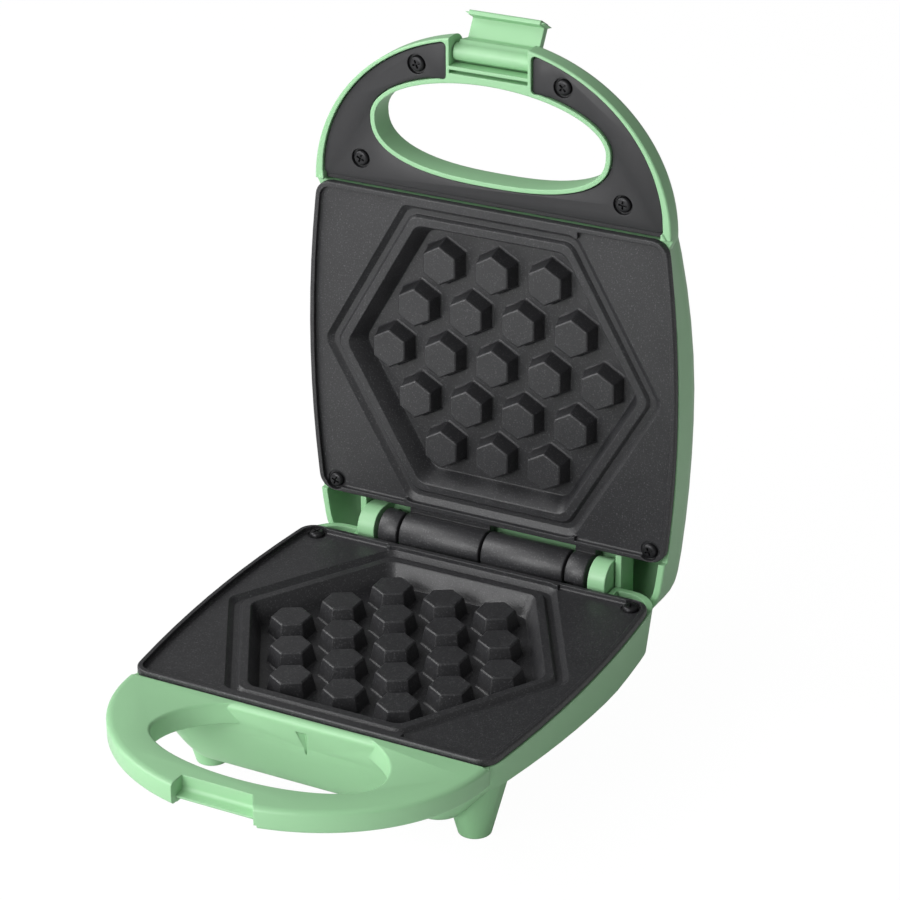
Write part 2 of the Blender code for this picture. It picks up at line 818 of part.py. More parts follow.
def base_housing():
    made = piece("base_housing", loft(base_rings(0, -BASE_TOP)), GREEN, None)
    base_handle(made)
    flare = FOOT_FLARE * (FOOT_BOTTOM - FOOT_TOP)
    for x, ahead in foot_places():
        join(made, upright(x, ahead, FOOT_RADIUS, -FOOT_BOTTOM, -FOOT_TOP, high_radius=FOOT_RADIUS + flare))
    hollow = helper(made, loft(base_rings(CASING_WALL, OVERRUN)))
    cut(hollow, hinge_wall(HINGE_GAP_HALF + CASING_WALL))
    plate_foot = -PLATE_FLAT - PLATE_WALL - FIT
    for side in (-1, 1):
        cut(hollow, upright(side * PLATE_SCREW_SIDE, PLATE_SCREW_AHEAD, BOSS_RADIUS,
                            -BASE_BOTTOM - OVERRUN, plate_foot))
    boolean(made, hollow, "DIFFERENCE")
    floor = -FOOT_BOTTOM + FOOT_FLOOR
    inner = FOOT_RADIUS + FOOT_FLARE * FOOT_FLOOR - CASING_WALL
    for x, ahead in foot_places():
        high = -FOOT_HOLLOW_TOP
        cut(made, upright(x, ahead, inner, floor, high, high_radius=inner + FOOT_FLARE * (high - floor)))
        cut(made, upright(x, ahead, PAD_RADIUS + FIT, -FOOT_BOTTOM - OVERRUN,
                          -FOOT_BOTTOM + PAD_THICK - PAD_PROUD + FIT))
    wide = BASE_HALF_WIDTH + OVERRUN
    cut(made, block(-wide, wide, LID_REAR - OVERRUN, PLATE_FRONT + PLATE_FRONT_GAP, -PLATE_LIP_TALL - FIT,
                    OVERRUN))
    cut(made, block(-HINGE_GAP_HALF, HINGE_GAP_HALF, LID_REAR - 2 * OVERRUN,
                    PATTERN_CENTRE - GROOVE_OUTER - FIT, -HINGE_GAP_DEPTH, 2 * OVERRUN))
    join(made, ear(EAR_INNER, EAR_OUTER))
    cut(made, crosswise(EAR_INNER - OVERRUN, EAR_OUTER - CASING_WALL / 2, 0, 0, BORE))
    for side in (-1, 1):
        cut(made, upright(side * PLATE_SCREW_SIDE, PLATE_SCREW_AHEAD, SCREW_SHANK + FIT,
                          plate_foot - SCREW_LENGTH, plate_foot + OVERRUN))
    cut_latch_notch(made)
    cut_front_groove(made)
    cut(made, lengthwise(GLAND_SIDE, BASE_REAR - OVERRUN, BASE_REAR + 2 * OVERRUN, -GLAND_BELOW,
                         GLAND_BODY + FIT))
    cut(made, lengthwise(LEAD_SIDE, BASE_REAR - OVERRUN, BASE_REAR + 2 * OVERRUN, -LEAD_BELOW,
                         LEAD_RADIUS + FIT))
    return made


def notch_ring(wall, z):
    """One level of the space before the handle's set-back wall, with its ramp on the right."""
    past = HANDLE_CENTRE + LID_HANDLE_REACH + OVERRUN
    slope = (NOTCH_RAMP_END - NOTCH_RAMP_START) / (HANDLE_CENTRE + HANDLE_REACH - NOTCH_WALL)
    ramp = NOTCH_RAMP_START + slope * (wall - NOTCH_WALL)
    far = NOTCH_RAMP_START + slope * (past - NOTCH_WALL)
    return place([(-NOTCH_HALF, wall), (ramp, wall), (far, past), (-NOTCH_HALF, past)], z)


def cut_latch_notch(made):
    """A set-back wall in the handle's front, curving out to a lip for the latch to hook under."""
    deep = -BASE_HANDLE_BOTTOM - OVERRUN
    rings = [notch_ring(NOTCH_LIP, deep), notch_ring(NOTCH_LIP, -NOTCH_SHELF - FIT)]
    for step in range(CORNER_STEPS + 1):
        angle = math.pi / 2 * step / CORNER_STEPS
        wall = NOTCH_WALL + NOTCH_HOLLOW * (1 - math.sin(angle))
        rings.append(notch_ring(wall, -NOTCH_SHELF + NOTCH_HOLLOW * (1 - math.cos(angle))))
    cut(made, loft(rings + [notch_ring(NOTCH_WALL, OVERRUN)]))
    past = HANDLE_CENTRE + HANDLE_REACH + OVERRUN
    wide = NOTCH_HALF - FIT
    cut(made, block(-wide, wide, NOTCH_DEEP, past, deep, -NOTCH_LIP_BOTTOM))


def cut_front_groove(made):
    """A shallow V that narrows down the front wall, seen through the handle."""
    lean = BASE_FRONT_LEAN / (BASE_WALL_FOOT - BASE_TOP)
    rings = []
    for below, share in ((VEE_TOP, 1), (VEE_BOTTOM, VEE_TIP_SHARE)):
        wall = BASE_FRONT - lean * (below - BASE_TOP)
        half = VEE_HALF * share
        back = wall + OVERRUN
        outline = [(0, wall - VEE_DEEP * share), (half, wall), (half, back), (-half, back),
                   (-half, wall)]
        rings.append(place(outline, -below))
    cut(made, loft(rings))


# Upper shell

def lid_ring(z, side, front, rear, open_out=0, draw=LID_FRONT_DRAW):
    """A level of the lid. Its corners open out as it is drawn in over the crown."""
    half_width = LID_HALF_WIDTH - side
    room = min(half_width, (LID_FRONT - front - LID_REAR - rear) / 2)
    corners = []
    for corner in (LID_CORNER, LID_FRONT_CORNER):
        corners.append(min(max(corner - side / 2, FIT) + open_out, room * CORNER_ROOM_SHARE))
    return place(bowed(half_width, LID_REAR + rear, LID_FRONT - front, *corners, draw), z)


def lid_outer():
    rings = [lid_ring(LID_RIM, 0, 0, 0, draw=PLATE_FRONT_DRAW)]
    crown = LID_SIDE + LID_EDGE
    for step in range(CORNER_STEPS + 2):
        angle = math.pi / 2 * step / (CORNER_STEPS + 2)
        drawn = LID_EDGE * (1 - math.cos(angle))
        rings.append(lid_ring(LID_SIDE + LID_EDGE * math.sin(angle), drawn, drawn, drawn, drawn))
    for share in CROWN_SHARES:
        drawn = LID_CROWN_START + (LID_CROWN_END - LID_CROWN_START) * share
        angle = math.pi / 2 * (share + CROWN_LEAD_SHARE) / (1 + CROWN_LEAD_SHARE)
        rise = (LID_CROWN - crown) * math.sin(angle)
        rings.append(lid_ring(crown + rise, drawn, drawn, drawn, drawn))
    return rings


def lid_inner():
    """The hollow, with a thicker wall at the rim and a ledge along the front."""
    wall = CASING_WALL
    rings = [
        lid_ring(LID_RIM - OVERRUN, LID_RIM_WALL, LID_FRONT_LEDGE, wall, draw=PLATE_FRONT_DRAW),
        lid_ring(LID_RIM_STEP, LID_RIM_WALL, LID_FRONT_LEDGE, wall, draw=PLATE_FRONT_DRAW),
    ]
    edge = LID_EDGE - wall
    for step in range(1, CORNER_STEPS + 2):
        angle = math.pi / 2 * step / (CORNER_STEPS + 1)
        drawn = wall + edge * (1 - math.cos(angle))
        rings.append(lid_ring(LID_SIDE + edge * math.sin(angle), max(drawn, LID_RIM_WALL),
                              max(drawn, LID_FRONT_LEDGE), drawn, drawn))
    drawn = (LID_CROWN_START + LID_CROWN_END) / 2
    rings.append(lid_ring(LID_CROWN - 2 * wall, drawn, drawn, drawn, drawn))
    return rings


def lid_handle(made):
    rounds = LID_HANDLE_ROUND

    def edge(inset, z):
        return place(handle_outline(inset, LID_HANDLE_HALF, LID_HANDLE_REACH), z)

    rings = [edge(0, LID_HANDLE_FACE)]
    for step in range(CORNER_STEPS + 1):
        angle = math.pi / 2 * step / CORNER_STEPS
        rings.append(edge(rounds * (1 - math.cos(angle)), LID_HANDLE_BACK - rounds * (1 - math.sin(angle))))
    handle = helper(made, loft(rings))
    soft = BASE_HOLE_ROUND

    def opening(grow, z):
        return place(oval(LID_HOLE_HALF + grow, LID_HOLE_NEAR - grow, LID_HOLE_FAR + grow, LID_HOLE_WIDEST,
                          LID_HOLE_FLAT), z)

    cut(handle, loft([
        opening(0, LID_HANDLE_FACE - OVERRUN),
        opening(0, LID_HANDLE_BACK - soft),
        opening(soft, LID_HANDLE_BACK),
        opening(soft, LID_HANDLE_BACK + OVERRUN),
    ]))
    boolean(made, handle, "UNION")


def hollow_lid(made):
    hollow = helper(made, loft(lid_inner()))
    cut(hollow, flipped(hinge_wall(HINGE_GAP_HALF + CASING_WALL)))
    seat = PLATE_FLAT + PLATE_WALL + FIT
    for side in (-1, 1):
        cut(hollow, upright(side * PLATE_SCREW_SIDE, PLATE_SCREW_AHEAD, BOSS_RADIUS, seat,
                            LID_CROWN + OVERRUN))
    boolean(made, hollow, "DIFFERENCE")
    wide = LID_HALF_WIDTH + OVERRUN
    cut(made, block(-wide, wide, PLATE_REAR - FIT, PLATE_FRONT + FIT, -OVERRUN, PLATE_LIP_TALL + FIT))
    wide = LID_FRONT_GAP_HALF
    cut(made, block(-wide, wide, PLATE_FRONT - FIT, COVER_CENTRE + FIT, -OVERRUN, LID_FRONT_GAP_DEEP))
    cut(made, block(-HINGE_GAP_HALF, HINGE_GAP_HALF, LID_REAR - 2 * OVERRUN,
                    PATTERN_CENTRE - GROOVE_OUTER - FIT, -2 * OVERRUN, HINGE_GAP_DEPTH))
    join(made, flipped(ear(-EAR_OUTER, -EAR_INNER)))
    cut(made, crosswise(-EAR_OUTER + CASING_WALL / 2, -EAR_INNER + OVERRUN, 0, 0, BORE))
    for side in (-1, 1):
        cut(made, upright(side * PLATE_SCREW_SIDE, PLATE_SCREW_AHEAD, SCREW_SHANK + FIT,
                          seat - OVERRUN, seat + SCREW_LENGTH))
    cut(made, lead_hole())


def lead_hole():
    return upright(LEAD_SIDE, LEAD_LID_AHEAD, LEAD_RADIUS + FIT, HINGE_GAP_DEPTH - FUSE,
                   HINGE_GAP_DEPTH + CASING_WALL + FUSE)


def hollow_lid_handle(made):
    face = LID_HANDLE_FACE
    cut(made, slab(cover_outline(COVER_EDGE_GAP), face - OVERRUN, face + COVER_SUNK + COVER_THICK + FIT))
    channel = helper(made, slab(cover_outline(-COVER_LEDGE), face + COVER_SUNK, CHANNEL_TOP))
    for x, ahead in COVER_SCREWS:
        cut(channel, upright(x, ahead, BOSS_RADIUS, face - OVERRUN, CHANNEL_TOP + OVERRUN))
    boolean(made, channel, "DIFFERENCE")
    seat = face + COVER_SUNK + COVER_THICK + FIT
    for x, ahead in COVER_SCREWS:
        cut(made, upright(x, ahead, SCREW_SHANK + FIT, seat - OVERRUN, CHANNEL_TOP - FUSE))


def cut_latch_pocket(made):
    """Open to the front and back, with a back wall stepped to clear the latch as it turns."""
    past = FRONT_REACH + OVERRUN
    half = POCKET_HALF
    low = LID_HANDLE_FACE - OVERRUN
    high = LID_HANDLE_BACK + OVERRUN
    swept = LATCH_AHEAD - LATCH_REACH - LATCH_THICK - 2 * FIT
    cut(made, profile_across([
        (-past, low),
        (-past, high),
        (-swept, high),
        (-swept, LATCH_ABOVE),
        (-POCKET_REAR, LATCH_ABOVE),
        (-POCKET_REAR, low),
    ], -half, half))
    cut(made, block(-half, half, POCKET_SLOT_REAR, POCKET_SLOT_FRONT, low, POCKET_SLOT_DEEP))
    cut(made, crosswise(-LATCH_PIN_HALF - FIT, LATCH_PIN_HALF + FIT, LATCH_AHEAD, LATCH_ABOVE,
                        LATCH_PIN_RADIUS + FIT))


def lid_housing(hinge):
    made = piece("lid_housing", loft(lid_outer()), GREEN, hinge)
    lid_handle(made)
    hollow_lid(made)
    hollow_lid_handle(made)
    cut_latch_pocket(made)
    low = lens_seat()
    for side in (-1, 1):
        cut(made, upright(side * LIGHT_SIDE, LIGHT_AHEAD, LENS_RADIUS + FIT, low - OVERRUN,
                          LID_CROWN + OVERRUN))
        cut(made, upright(side * LIGHT_SIDE, LIGHT_AHEAD, LENS_FLANGE + FIT, low - 2 * OVERRUN, low))
    return made


def lens_seat():
    """Where a lens's flange meets the crown from inside."""
    return LID_SIDE + LID_EDGE


def handle_cover(hinge):
    low = LID_HANDLE_FACE + COVER_SUNK
    made = piece("lid_handle_cover", slab(cover_outline(0), low, low + COVER_THICK), BLACK, hinge)
    for x, ahead in COVER_SCREWS:
        cut(made, upright(x, ahead, HEAD_RECESS, low - OVERRUN, low + HEAD_RECESS_DEEP))
        cut(made, upright(x, ahead, SCREW_SHANK + FIT, low, low + COVER_THICK + OVERRUN))
    return made


# Screws, pins and pads

def turned(name, profile, material, parent, location, turn=(0, 0, 0), sides=ROUND_SIDES):
    """A turned piece, from its profile of (radius, z) down its outer side."""
    mesh = bpy.data.meshes.new(name)
    edges = [(index, index + 1) for index in range(len(profile) - 1)]
    mesh.from_pydata([(radius, 0, z) for radius, z in profile], edges, [])
    mesh.materials.append(material)
    made = bpy.data.objects.new(name, mesh)
    PIECES.objects.link(made)
    made.parent = parent
    made.location = location
    made.rotation_euler = turn
    screw = made.modifiers.new("turn", "SCREW")
    screw.steps = sides
    screw.render_steps = sides
    screw.use_merge_vertices = True
    screw.merge_threshold = 1e-6
    screw.use_smooth_shade = True
    screw.use_normal_calculate = False
    return made


def pan_screw(name, parent, location, turn=(0, 0, 0), length=SCREW_LENGTH):
    """A pan-head screw that points down from its seat, with a cross cut in its head."""
    tall = SCREW_HEAD_TALL
    profile = [
        (0, tall),
        (SCREW_HEAD * SCREW_CROWN_SHARE, tall),
        (SCREW_HEAD, tall * SCREW_CROWN_SHARE),
        (SCREW_HEAD, 0),
        (SCREW_SHANK, 0),
        (SCREW_SHANK, -length),
        (0, -length),
    ]
    made = turned(name, profile, BLACK_STEEL, parent, location, turn, SCREW_SIDES)
    reach = SCREW_SLOT_HALF
    wide = SCREW_SLOT_WIDE
    cross = []
    for x, y in ((1, 1), (-1, 1), (-1, -1), (1, -1)):
        corner = [(x * reach, y * wide), (x * wide, y * wide), (x * wide, y * reach)]
        cross += corner if x == y else corner[::-1]
    cut(made, slab(cross, tall - SCREW_SLOT_DEEP, tall + OVERRUN))
    return made


def plate_screws(half_name, parent, over):
    """The screws at a plate's rear corners. Over is 1 for the lower half and -1 for the upper."""
    for side, word in ((-1, "left"), (1, "right")):
        seat = Vector((side * PLATE_SCREW_SIDE, -PLATE_SCREW_AHEAD, over * -PLATE_FLAT))
        turn = (0 if over == 1 else math.pi, 0, 0)
        pan_screw(half_name + "_plate_screw_" + word, parent, seat + start_of(parent), turn)


def foot_pads():
    for index, (x, ahead) in enumerate(foot_places(), 1):
        profile = [
            (0, PAD_THICK),
            (PAD_RADIUS, PAD_THICK),
            (PAD_RADIUS, PAD_PROUD / 2),
            (PAD_RADIUS - PAD_PROUD / 2, 0),
            (0, 0),
        ]
        place_at = HINGE_PLACE + Vector((x, -ahead, -PAD_BOTTOM))
        turned("foot_pad_%d" % index, profile, RUBBER, None, place_at)


def pin(name, radius, half_length, parent, location):
    profile = [(0, half_length), (radius, half_length), (radius, -half_length), (0, -half_length)]
    return turned(name, profile, STEEL, parent, location, (0, math.pi / 2, 0))


# Heating

def heating(half_name, parent, over):
    """An element, its shield and the shield's screws, under the lower plate or over the upper."""
    element(half_name + "_heating_element", parent, over)
    shield(half_name + "_heat_shield", parent, over)
    for side, word in ((-1, "left"), (1, "right")):
        below = POST_END + SHIELD_THICK + 2 * FIT
        seat = Vector((side * SHIELD_POST_SIDE, -PATTERN_CENTRE, -over * below))
        turn = (math.pi if over == 1 else 0, 0, 0)
        name = half_name + "_shield_screw_" + word
        pan_screw(name, parent, seat + start_of(parent), turn, SHIELD_SCREW_LENGTH)


def element(name, parent, over):
    """A tube bent into a horseshoe, with its mouth and cold ends toward the hinge."""
    z = -over * (PLATE_UNDERSIDE + FIT + ELEMENT_RADIUS)
    steps = 3 * CORNER_STEPS * 2
    start = math.asin(ELEMENT_MOUTH / ELEMENT_BEND)
    route = []
    for step in range(steps + 1):
        angle = start + (2 * math.pi - 2 * start) * step / steps
        route.append((ELEMENT_BEND * math.sin(angle), PATTERN_CENTRE - ELEMENT_BEND * math.cos(angle)))
    near = route[0][1] - ELEMENT_TAIL
    route = [(ELEMENT_MOUTH, near)] + route + [(-ELEMENT_MOUTH, near)]
    points = [(x, -ahead, z) for x, ahead in route]
    return tube(name, points, ELEMENT_RADIUS, SHEATH, parent, start_of(parent))


def tube(name, points, radius, material, parent, location):
    curve = bpy.data.curves.new(name, "CURVE")
    curve.dimensions = "3D"
    curve.bevel_depth = radius
    curve.bevel_resolution = 2
    curve.use_fill_caps = True
    spline = curve.splines.new("POLY")
    spline.points.add(len(points) - 1)
    for target, point in zip(spline.points, points):
        target.co = (*point, 1)
    spline.use_smooth = True
    curve.materials.append(material)
    made = bpy.data.objects.new(name, curve)
    PIECES.objects.link(made)
    made.parent = parent
    made.location = location
    return made


def shield(name, parent, over):
    """A shallow pressed tray that holds the element up to the plate."""
    low = -POST_END - FIT - SHIELD_THICK
    high = low + SHIELD_TALL
    outer = hexagon(SHIELD_HALF, PATTERN_CORNER)
    inner = hexagon(SHIELD_HALF - SHIELD_THICK, PATTERN_CORNER)
    tray = slab(outer, low, high)
    space = slab(inner, low + SHIELD_THICK, high + OVERRUN)
    made = piece(name, tray if over == 1 else flipped(tray), TIN, parent)
    cut(made, space if over == 1 else flipped(space))
    for side in (-1, 1):
        hole = upright(side * SHIELD_POST_SIDE, PATTERN_CENTRE, SCREW_SHANK + FIT, low - OVERRUN,
                       low + SHIELD_THICK + FUSE)
        cut(made, hole if over == 1 else flipped(hole))
    return made


def thermostat():
    high = -PLATE_UNDERSIDE - FIT
    low = -POST_END
    profile = [
        (0, high),
        (THERMOSTAT_RADIUS, high),
        (THERMOSTAT_RADIUS, (high + low) / 2),
        (THERMOSTAT_RADIUS - CASING_WALL, (high + low) / 2),
        (THERMOSTAT_RADIUS - CASING_WALL, low),
        (0, low),
    ]
    return turned("thermostat", profile, PHENOLIC, None, HINGE_PLACE + Vector((0, -PATTERN_CENTRE, 0)))


def terminal_block():
    across, along, tall = TERMINAL_HALF
    low = -BASE_BOTTOM + CASING_WALL + FIT
    near = TERMINAL_AHEAD - along
    made = piece("terminal_block", block(-across, across, near, near + 2 * along, low, low + 2 * tall),
                 PHENOLIC, None)
    for side in (-1, 0, 1):
        cut(made, upright(side * across * 2 / 3, TERMINAL_AHEAD, SCREW_SHANK, low + tall,
                          low + 2 * tall + OVERRUN))
    return made


def cord_gland():
    """A flanged bush in the rear wall, with a groove that the wall sits in."""
    wall_in = -BASE_REAR_LEAN - CASING_WALL - GLAND_ROOM
    thick = GLAND_FLANGE_THICK
    flange = FIT - BASE_REAR_LEAN / 2
    profile = [
        (GLAND_BORE, flange + thick),
        (GLAND_FLANGE, flange + thick),
        (GLAND_FLANGE, flange),
        (GLAND_BODY, flange),
        (GLAND_BODY, wall_in),
        (GLAND_FLANGE, wall_in),
        (GLAND_FLANGE, wall_in - thick),
        (GLAND_BORE, wall_in - thick),
        (GLAND_BORE, flange + thick),
    ]
    place_at = HINGE_PLACE + Vector((GLAND_SIDE, -BASE_REAR, -GLAND_BELOW))
    return turned("cord_gland", profile, RUBBER, None, place_at, (-math.pi / 2, 0, 0))


def link_lead():
    """The sleeved lead from base to lid, in an easy bend below the barrel."""
    inside = LEAD_INSIDE
    floor = HINGE_GAP_DEPTH
    drop = LEAD_BELOW
    ends = -LEAD_LID_AHEAD
    route = [
        (-inside, -drop),
        (LEAD_RADIUS / 2, -drop),
        (floor * LEAD_TURN_SHARE, -(drop * LEAD_HANG_SHARE + ends * (1 - LEAD_HANG_SHARE))),
        (floor / 2, -(drop + ends) / 2),
        (floor * (1 - LEAD_TURN_SHARE), -(drop * (1 - LEAD_HANG_SHARE) + ends * LEAD_HANG_SHARE)),
        (floor - LEAD_RADIUS / 2, -ends),
        (floor + inside, -ends),
    ]
    points = [(LEAD_SIDE, y, z) for y, z in route]
    return tube("link_lead", points, LEAD_RADIUS, SLEEVE, None, HINGE_PLACE)


# Lid's small pieces

def lights(hinge):
    for side, word in ((-1, "power"), (1, "ready")):
        seat = lens_seat() - FIT
        top = LID_CROWN - LENS_PROUD
        profile = [
            (0, top),
            (LENS_RADIUS - LENS_PROUD, top),
            (LENS_RADIUS, top - LENS_PROUD),
            (LENS_RADIUS, seat),
            (LENS_FLANGE, seat),
            (LENS_FLANGE, seat - LENS_FLANGE_THICK),
            (0, seat - LENS_FLANGE_THICK),
        ]
        at = Vector((side * LIGHT_SIDE, -LIGHT_AHEAD, 0))
        turned(word + "_lens", profile, LENS_RED if side == -1 else LENS_GREEN, hinge, at)
        high = seat - LENS_FLANGE_THICK - FIT
        low = high - LAMP_LENGTH
        bulb = [(0, high), (LAMP_RADIUS, high), (LAMP_RADIUS, low), (0, low)]
        turned(word + "_lamp", bulb, GLASS, hinge, at)


def thermal_fuse(hinge):
    z = PLATE_UNDERSIDE + FIT + FUSE_RADIUS
    profile = [
        (0, FUSE_LENGTH / 2),
        (FUSE_RADIUS, FUSE_LENGTH / 2),
        (FUSE_RADIUS, -FUSE_LENGTH / 2),
        (0, -FUSE_LENGTH / 2),
    ]
    return turned("thermal_fuse", profile, TIN, hinge, Vector((0, -PATTERN_CENTRE, z)), (0, math.pi / 2, 0))


# Latch

def latch(pivot):
    """An L-shaped clip: a barrel on the pin, an arm over the edge and a hook at its foot."""
    inner = -LATCH_REACH
    outer = inner - LATCH_THICK
    hook = inner + LATCH_HOOK_IN
    foot = -LATCH_DROP
    soft = LATCH_CORNER
    corners = [
        (LATCH_BARREL * LATCH_TOP_SHARE, LATCH_BARREL, 0),
        (outer, LATCH_BARREL, LATCH_BARREL),
        (outer, foot, soft),
        (hook, foot, soft),
        (hook, foot + LATCH_HOOK_TALL, 0),
        (inner, foot + LATCH_HOOK_TALL, soft / 2),
        (inner, -LATCH_SHOULDER, soft),
        (LATCH_HEEL_BACK, -LATCH_HEEL_DROP, soft),
        (LATCH_BARREL * LATCH_HEEL_SHARE, -LATCH_BARREL * LATCH_HEEL_RISE_SHARE, 0),
    ]
    section = rounded(corners, CORNER_STEPS // 2)
    made = piece("latch", profile_across(section, -LATCH_HALF, LATCH_HALF), GREEN, pivot)
    join(made, crosswise(-LATCH_BARREL_HALF, LATCH_BARREL_HALF, 0, 0, LATCH_BARREL))
    for side in (-1, 1):
        tip = side * LATCH_LIP_HALF
        body = side * (LATCH_HALF - FUSE)
        high = foot + LATCH_HOOK_TALL
        outline = [(body, foot + soft), (body, high), (tip, foot + LATCH_HOOK_TALL / 2)]
        join(made, lip_tip(outline, hook - soft / 2, outer + soft / 2))
    cut(made, crosswise(-LATCH_HALF - OVERRUN, LATCH_HALF + OVERRUN, 0, 0, LATCH_PIN_RADIUS + FIT))
    return made


def lip_tip(outline, back, front):
    """A pointed end of the finger lip, from (x, z) points."""
    bm = bmesh.new()
    face = bm.faces.new([bm.verts.new((x, back, z)) for x, z in outline])
    raised = bmesh.ops.extrude_face_region(bm, geom=[face])
    points = [item for item in raised["geom"] if isinstance(item, bmesh.types.BMVert)]
    bmesh.ops.translate(bm, vec=(0, front - back, 0), verts=points)
    bmesh.ops.recalc_face_normals(bm, faces=bm.faces)
    return bm


# The whole object

def base_pieces():
    base_housing()
    plate("lower_plate", None, (0, 0, 0))
    plate_screws("lower", None, 1)
    foot_pads()
    heating("lower", None, 1)
    thermostat()
    terminal_block()
    cord_gland()
    link_lead()
    pin("hinge_pin", PIN_RADIUS, EAR_OUTER - CASING_WALL, None, HINGE_PLACE)


def lid_pieces(hinge):
    lid_housing(hinge)
    handle_cover(hinge)
    for index, (x, ahead) in enumerate(COVER_SCREWS, 1):
        seat = Vector((x, -ahead, LID_HANDLE_FACE + COVER_SUNK + HEAD_RECESS_DEEP - FIT / 2))
        pan_screw("cover_screw_%d" % index, hinge, seat, (math.pi, 0, 0), COVER_SCREW_LENGTH)
    plate("upper_plate", hinge, (0, math.pi, 0))
    plate_screws("upper", hinge, -1)
    heating("upper", hinge, -1)
    thermal_fuse(hinge)
    lights(hinge)
    pin("latch_pin", LATCH_PIN_RADIUS, LATCH_PIN_HALF, hinge, Vector((0, -LATCH_AHEAD, LATCH_ABOVE)))


clear_scene()
PIECES = new_collection(OBJECT_NAME)
CUTTERS = new_collection("cutters")
GREEN = finish("green_plastic", (0.30, 0.56, 0.33), 0.38)
BLACK = finish("black_plastic", (0.035, 0.035, 0.037), 0.5)
COATING = finish("non_stick_coating", (0.035, 0.035, 0.038), 0.42)
BLACK_STEEL = finish("blackened_steel", (0.02, 0.02, 0.022), 0.4, 0.8)
STEEL = finish("steel", (0.6, 0.6, 0.6), 0.3, 1.0)
TIN = finish("tinned_steel", (0.65, 0.65, 0.64), 0.35, 1.0)
SHEATH = finish("element_sheath", (0.25, 0.24, 0.22), 0.5, 1.0)
RUBBER = finish("rubber", (0.03, 0.03, 0.03), 0.8)
PHENOLIC = finish("phenolic", (0.06, 0.045, 0.035), 0.5)
SLEEVE = finish("lead_sleeve", (0.04, 0.04, 0.04), 0.6)
GLASS = finish("lamp_glass", (0.8, 0.75, 0.7), 0.1)
LENS_RED = finish("red_lens", (0.6, 0.05, 0.03), 0.15)
LENS_GREEN = finish("green_lens", (0.1, 0.5, 0.12), 0.15)

lid_hinge = new_empty("lid_hinge", None, HINGE_PLACE, -LID_OPEN)
latch_pivot = new_empty("latch_pivot", lid_hinge, (0, -LATCH_AHEAD, LATCH_ABOVE), -LATCH_OPEN)
base_pieces()
lid_pieces(lid_hinge)
latch(latch_pivot)
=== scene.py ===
"""Dresses the mini waffle maker: fine shells, plates, latch and screws, with their finishes.

Pieces are drawn as they lie when closed, measured from the hinge axis in the plane where the
plates meet. X is to the right, "ahead" is the distance in front of the axis, and Z is up. Each
is then turned to where its body lies at rest.
"""

import json
import math

import bmesh
import bpy
from mathutils import Matrix, Vector


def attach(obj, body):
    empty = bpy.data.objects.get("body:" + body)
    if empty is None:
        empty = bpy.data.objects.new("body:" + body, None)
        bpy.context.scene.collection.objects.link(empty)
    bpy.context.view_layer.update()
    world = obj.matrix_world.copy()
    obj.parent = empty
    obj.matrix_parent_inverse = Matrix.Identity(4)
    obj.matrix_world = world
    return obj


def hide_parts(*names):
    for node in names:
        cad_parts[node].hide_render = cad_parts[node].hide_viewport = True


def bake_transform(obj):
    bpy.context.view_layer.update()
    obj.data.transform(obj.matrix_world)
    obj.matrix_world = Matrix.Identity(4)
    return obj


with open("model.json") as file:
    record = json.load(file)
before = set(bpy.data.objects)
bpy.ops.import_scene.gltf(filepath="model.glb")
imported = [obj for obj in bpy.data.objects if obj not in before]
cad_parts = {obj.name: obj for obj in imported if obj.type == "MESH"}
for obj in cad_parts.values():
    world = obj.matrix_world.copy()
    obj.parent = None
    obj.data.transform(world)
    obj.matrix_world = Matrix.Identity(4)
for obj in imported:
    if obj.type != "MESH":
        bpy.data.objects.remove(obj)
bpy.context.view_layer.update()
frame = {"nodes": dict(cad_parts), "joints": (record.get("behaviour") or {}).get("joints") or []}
JOINTS = {joint["name"]: joint for joint in frame["joints"]}
HINGE = Vector(JOINTS["lid_hinge"]["pos_m"])

# Where each body's closed frame lies at rest
LID_OPEN = math.radians(90)
LATCH_OPEN = math.radians(121)
BASE_AT_REST = Matrix.Translation(HINGE)
LID_AT_REST = BASE_AT_REST @ Matrix.Rotation(-LID_OPEN, 4, "X")
LATCH_AHEAD = 0.1793
LATCH_ABOVE = 0.0063
LATCH_AT_REST = (
    LID_AT_REST
    @ Matrix.Translation((0, -LATCH_AHEAD, LATCH_ABOVE))
    @ Matrix.Rotation(-LATCH_OPEN, 4, "X")
)

# Camera that fits the photograph, measured from the hinge
CAMERA_AZIMUTH = math.radians(28.05)
CAMERA_ELEVATION = math.radians(25.617)
CAMERA_ROLL = math.radians(-0.521)
CAMERA_TARGET = Vector((0.017313, -0.060, 0.068331))
CAMERA_DISTANCE = 1.03833
CAMERA_LENS = 128.06
CAMERA_SENSOR = 36

# Gaps and small roundings
FIT = 0.0003
OVERRUN = 0.003
FUSE = 0.0005
WALL = 0.0022
PLATE_EDGE = 0.00035

# Cooking plate
PLATE_REAR = 0.0095
PLATE_FRONT = 0.1274
PLATE_WIDEST = 0.062
PLATE_HALF_WIDTH = 0.0702
PLATE_FRONT_DRAW = 0.0046
PLATE_REAR_DRAW = 0.0030
PLATE_CORNER = 0.006
CORNER_CLEAR_SHARE = 1.3
PLATE_LIP_WIDTH = 0.0018
PLATE_LIP_TALL = 0.0026
PLATE_FLAT = 0.0019
PLATE_SKIRT_INSET = 0.0026
PLATE_SKIRT_CORNER = 0.011
PLATE_WALL = 0.0022
PLATE_BAR_HALF = 0.0335
PATTERN_CENTRE = 0.0679
PATTERN_CORNER = 0.005
GROOVE_OUTER = 0.0558
GROOVE_FOOT = 0.0542
GROOVE_DEPTH = 0.0034
RIM_FOOT = 0.0524
RIM_OUTER = 0.0516
RIM_INNER = 0.0483
RIM_DEPTH = 0.0020
CAVITY_FLOOR = 0.0457
CAVITY_DEPTH = 0.0095
CAVITY_WALL = 0.0025
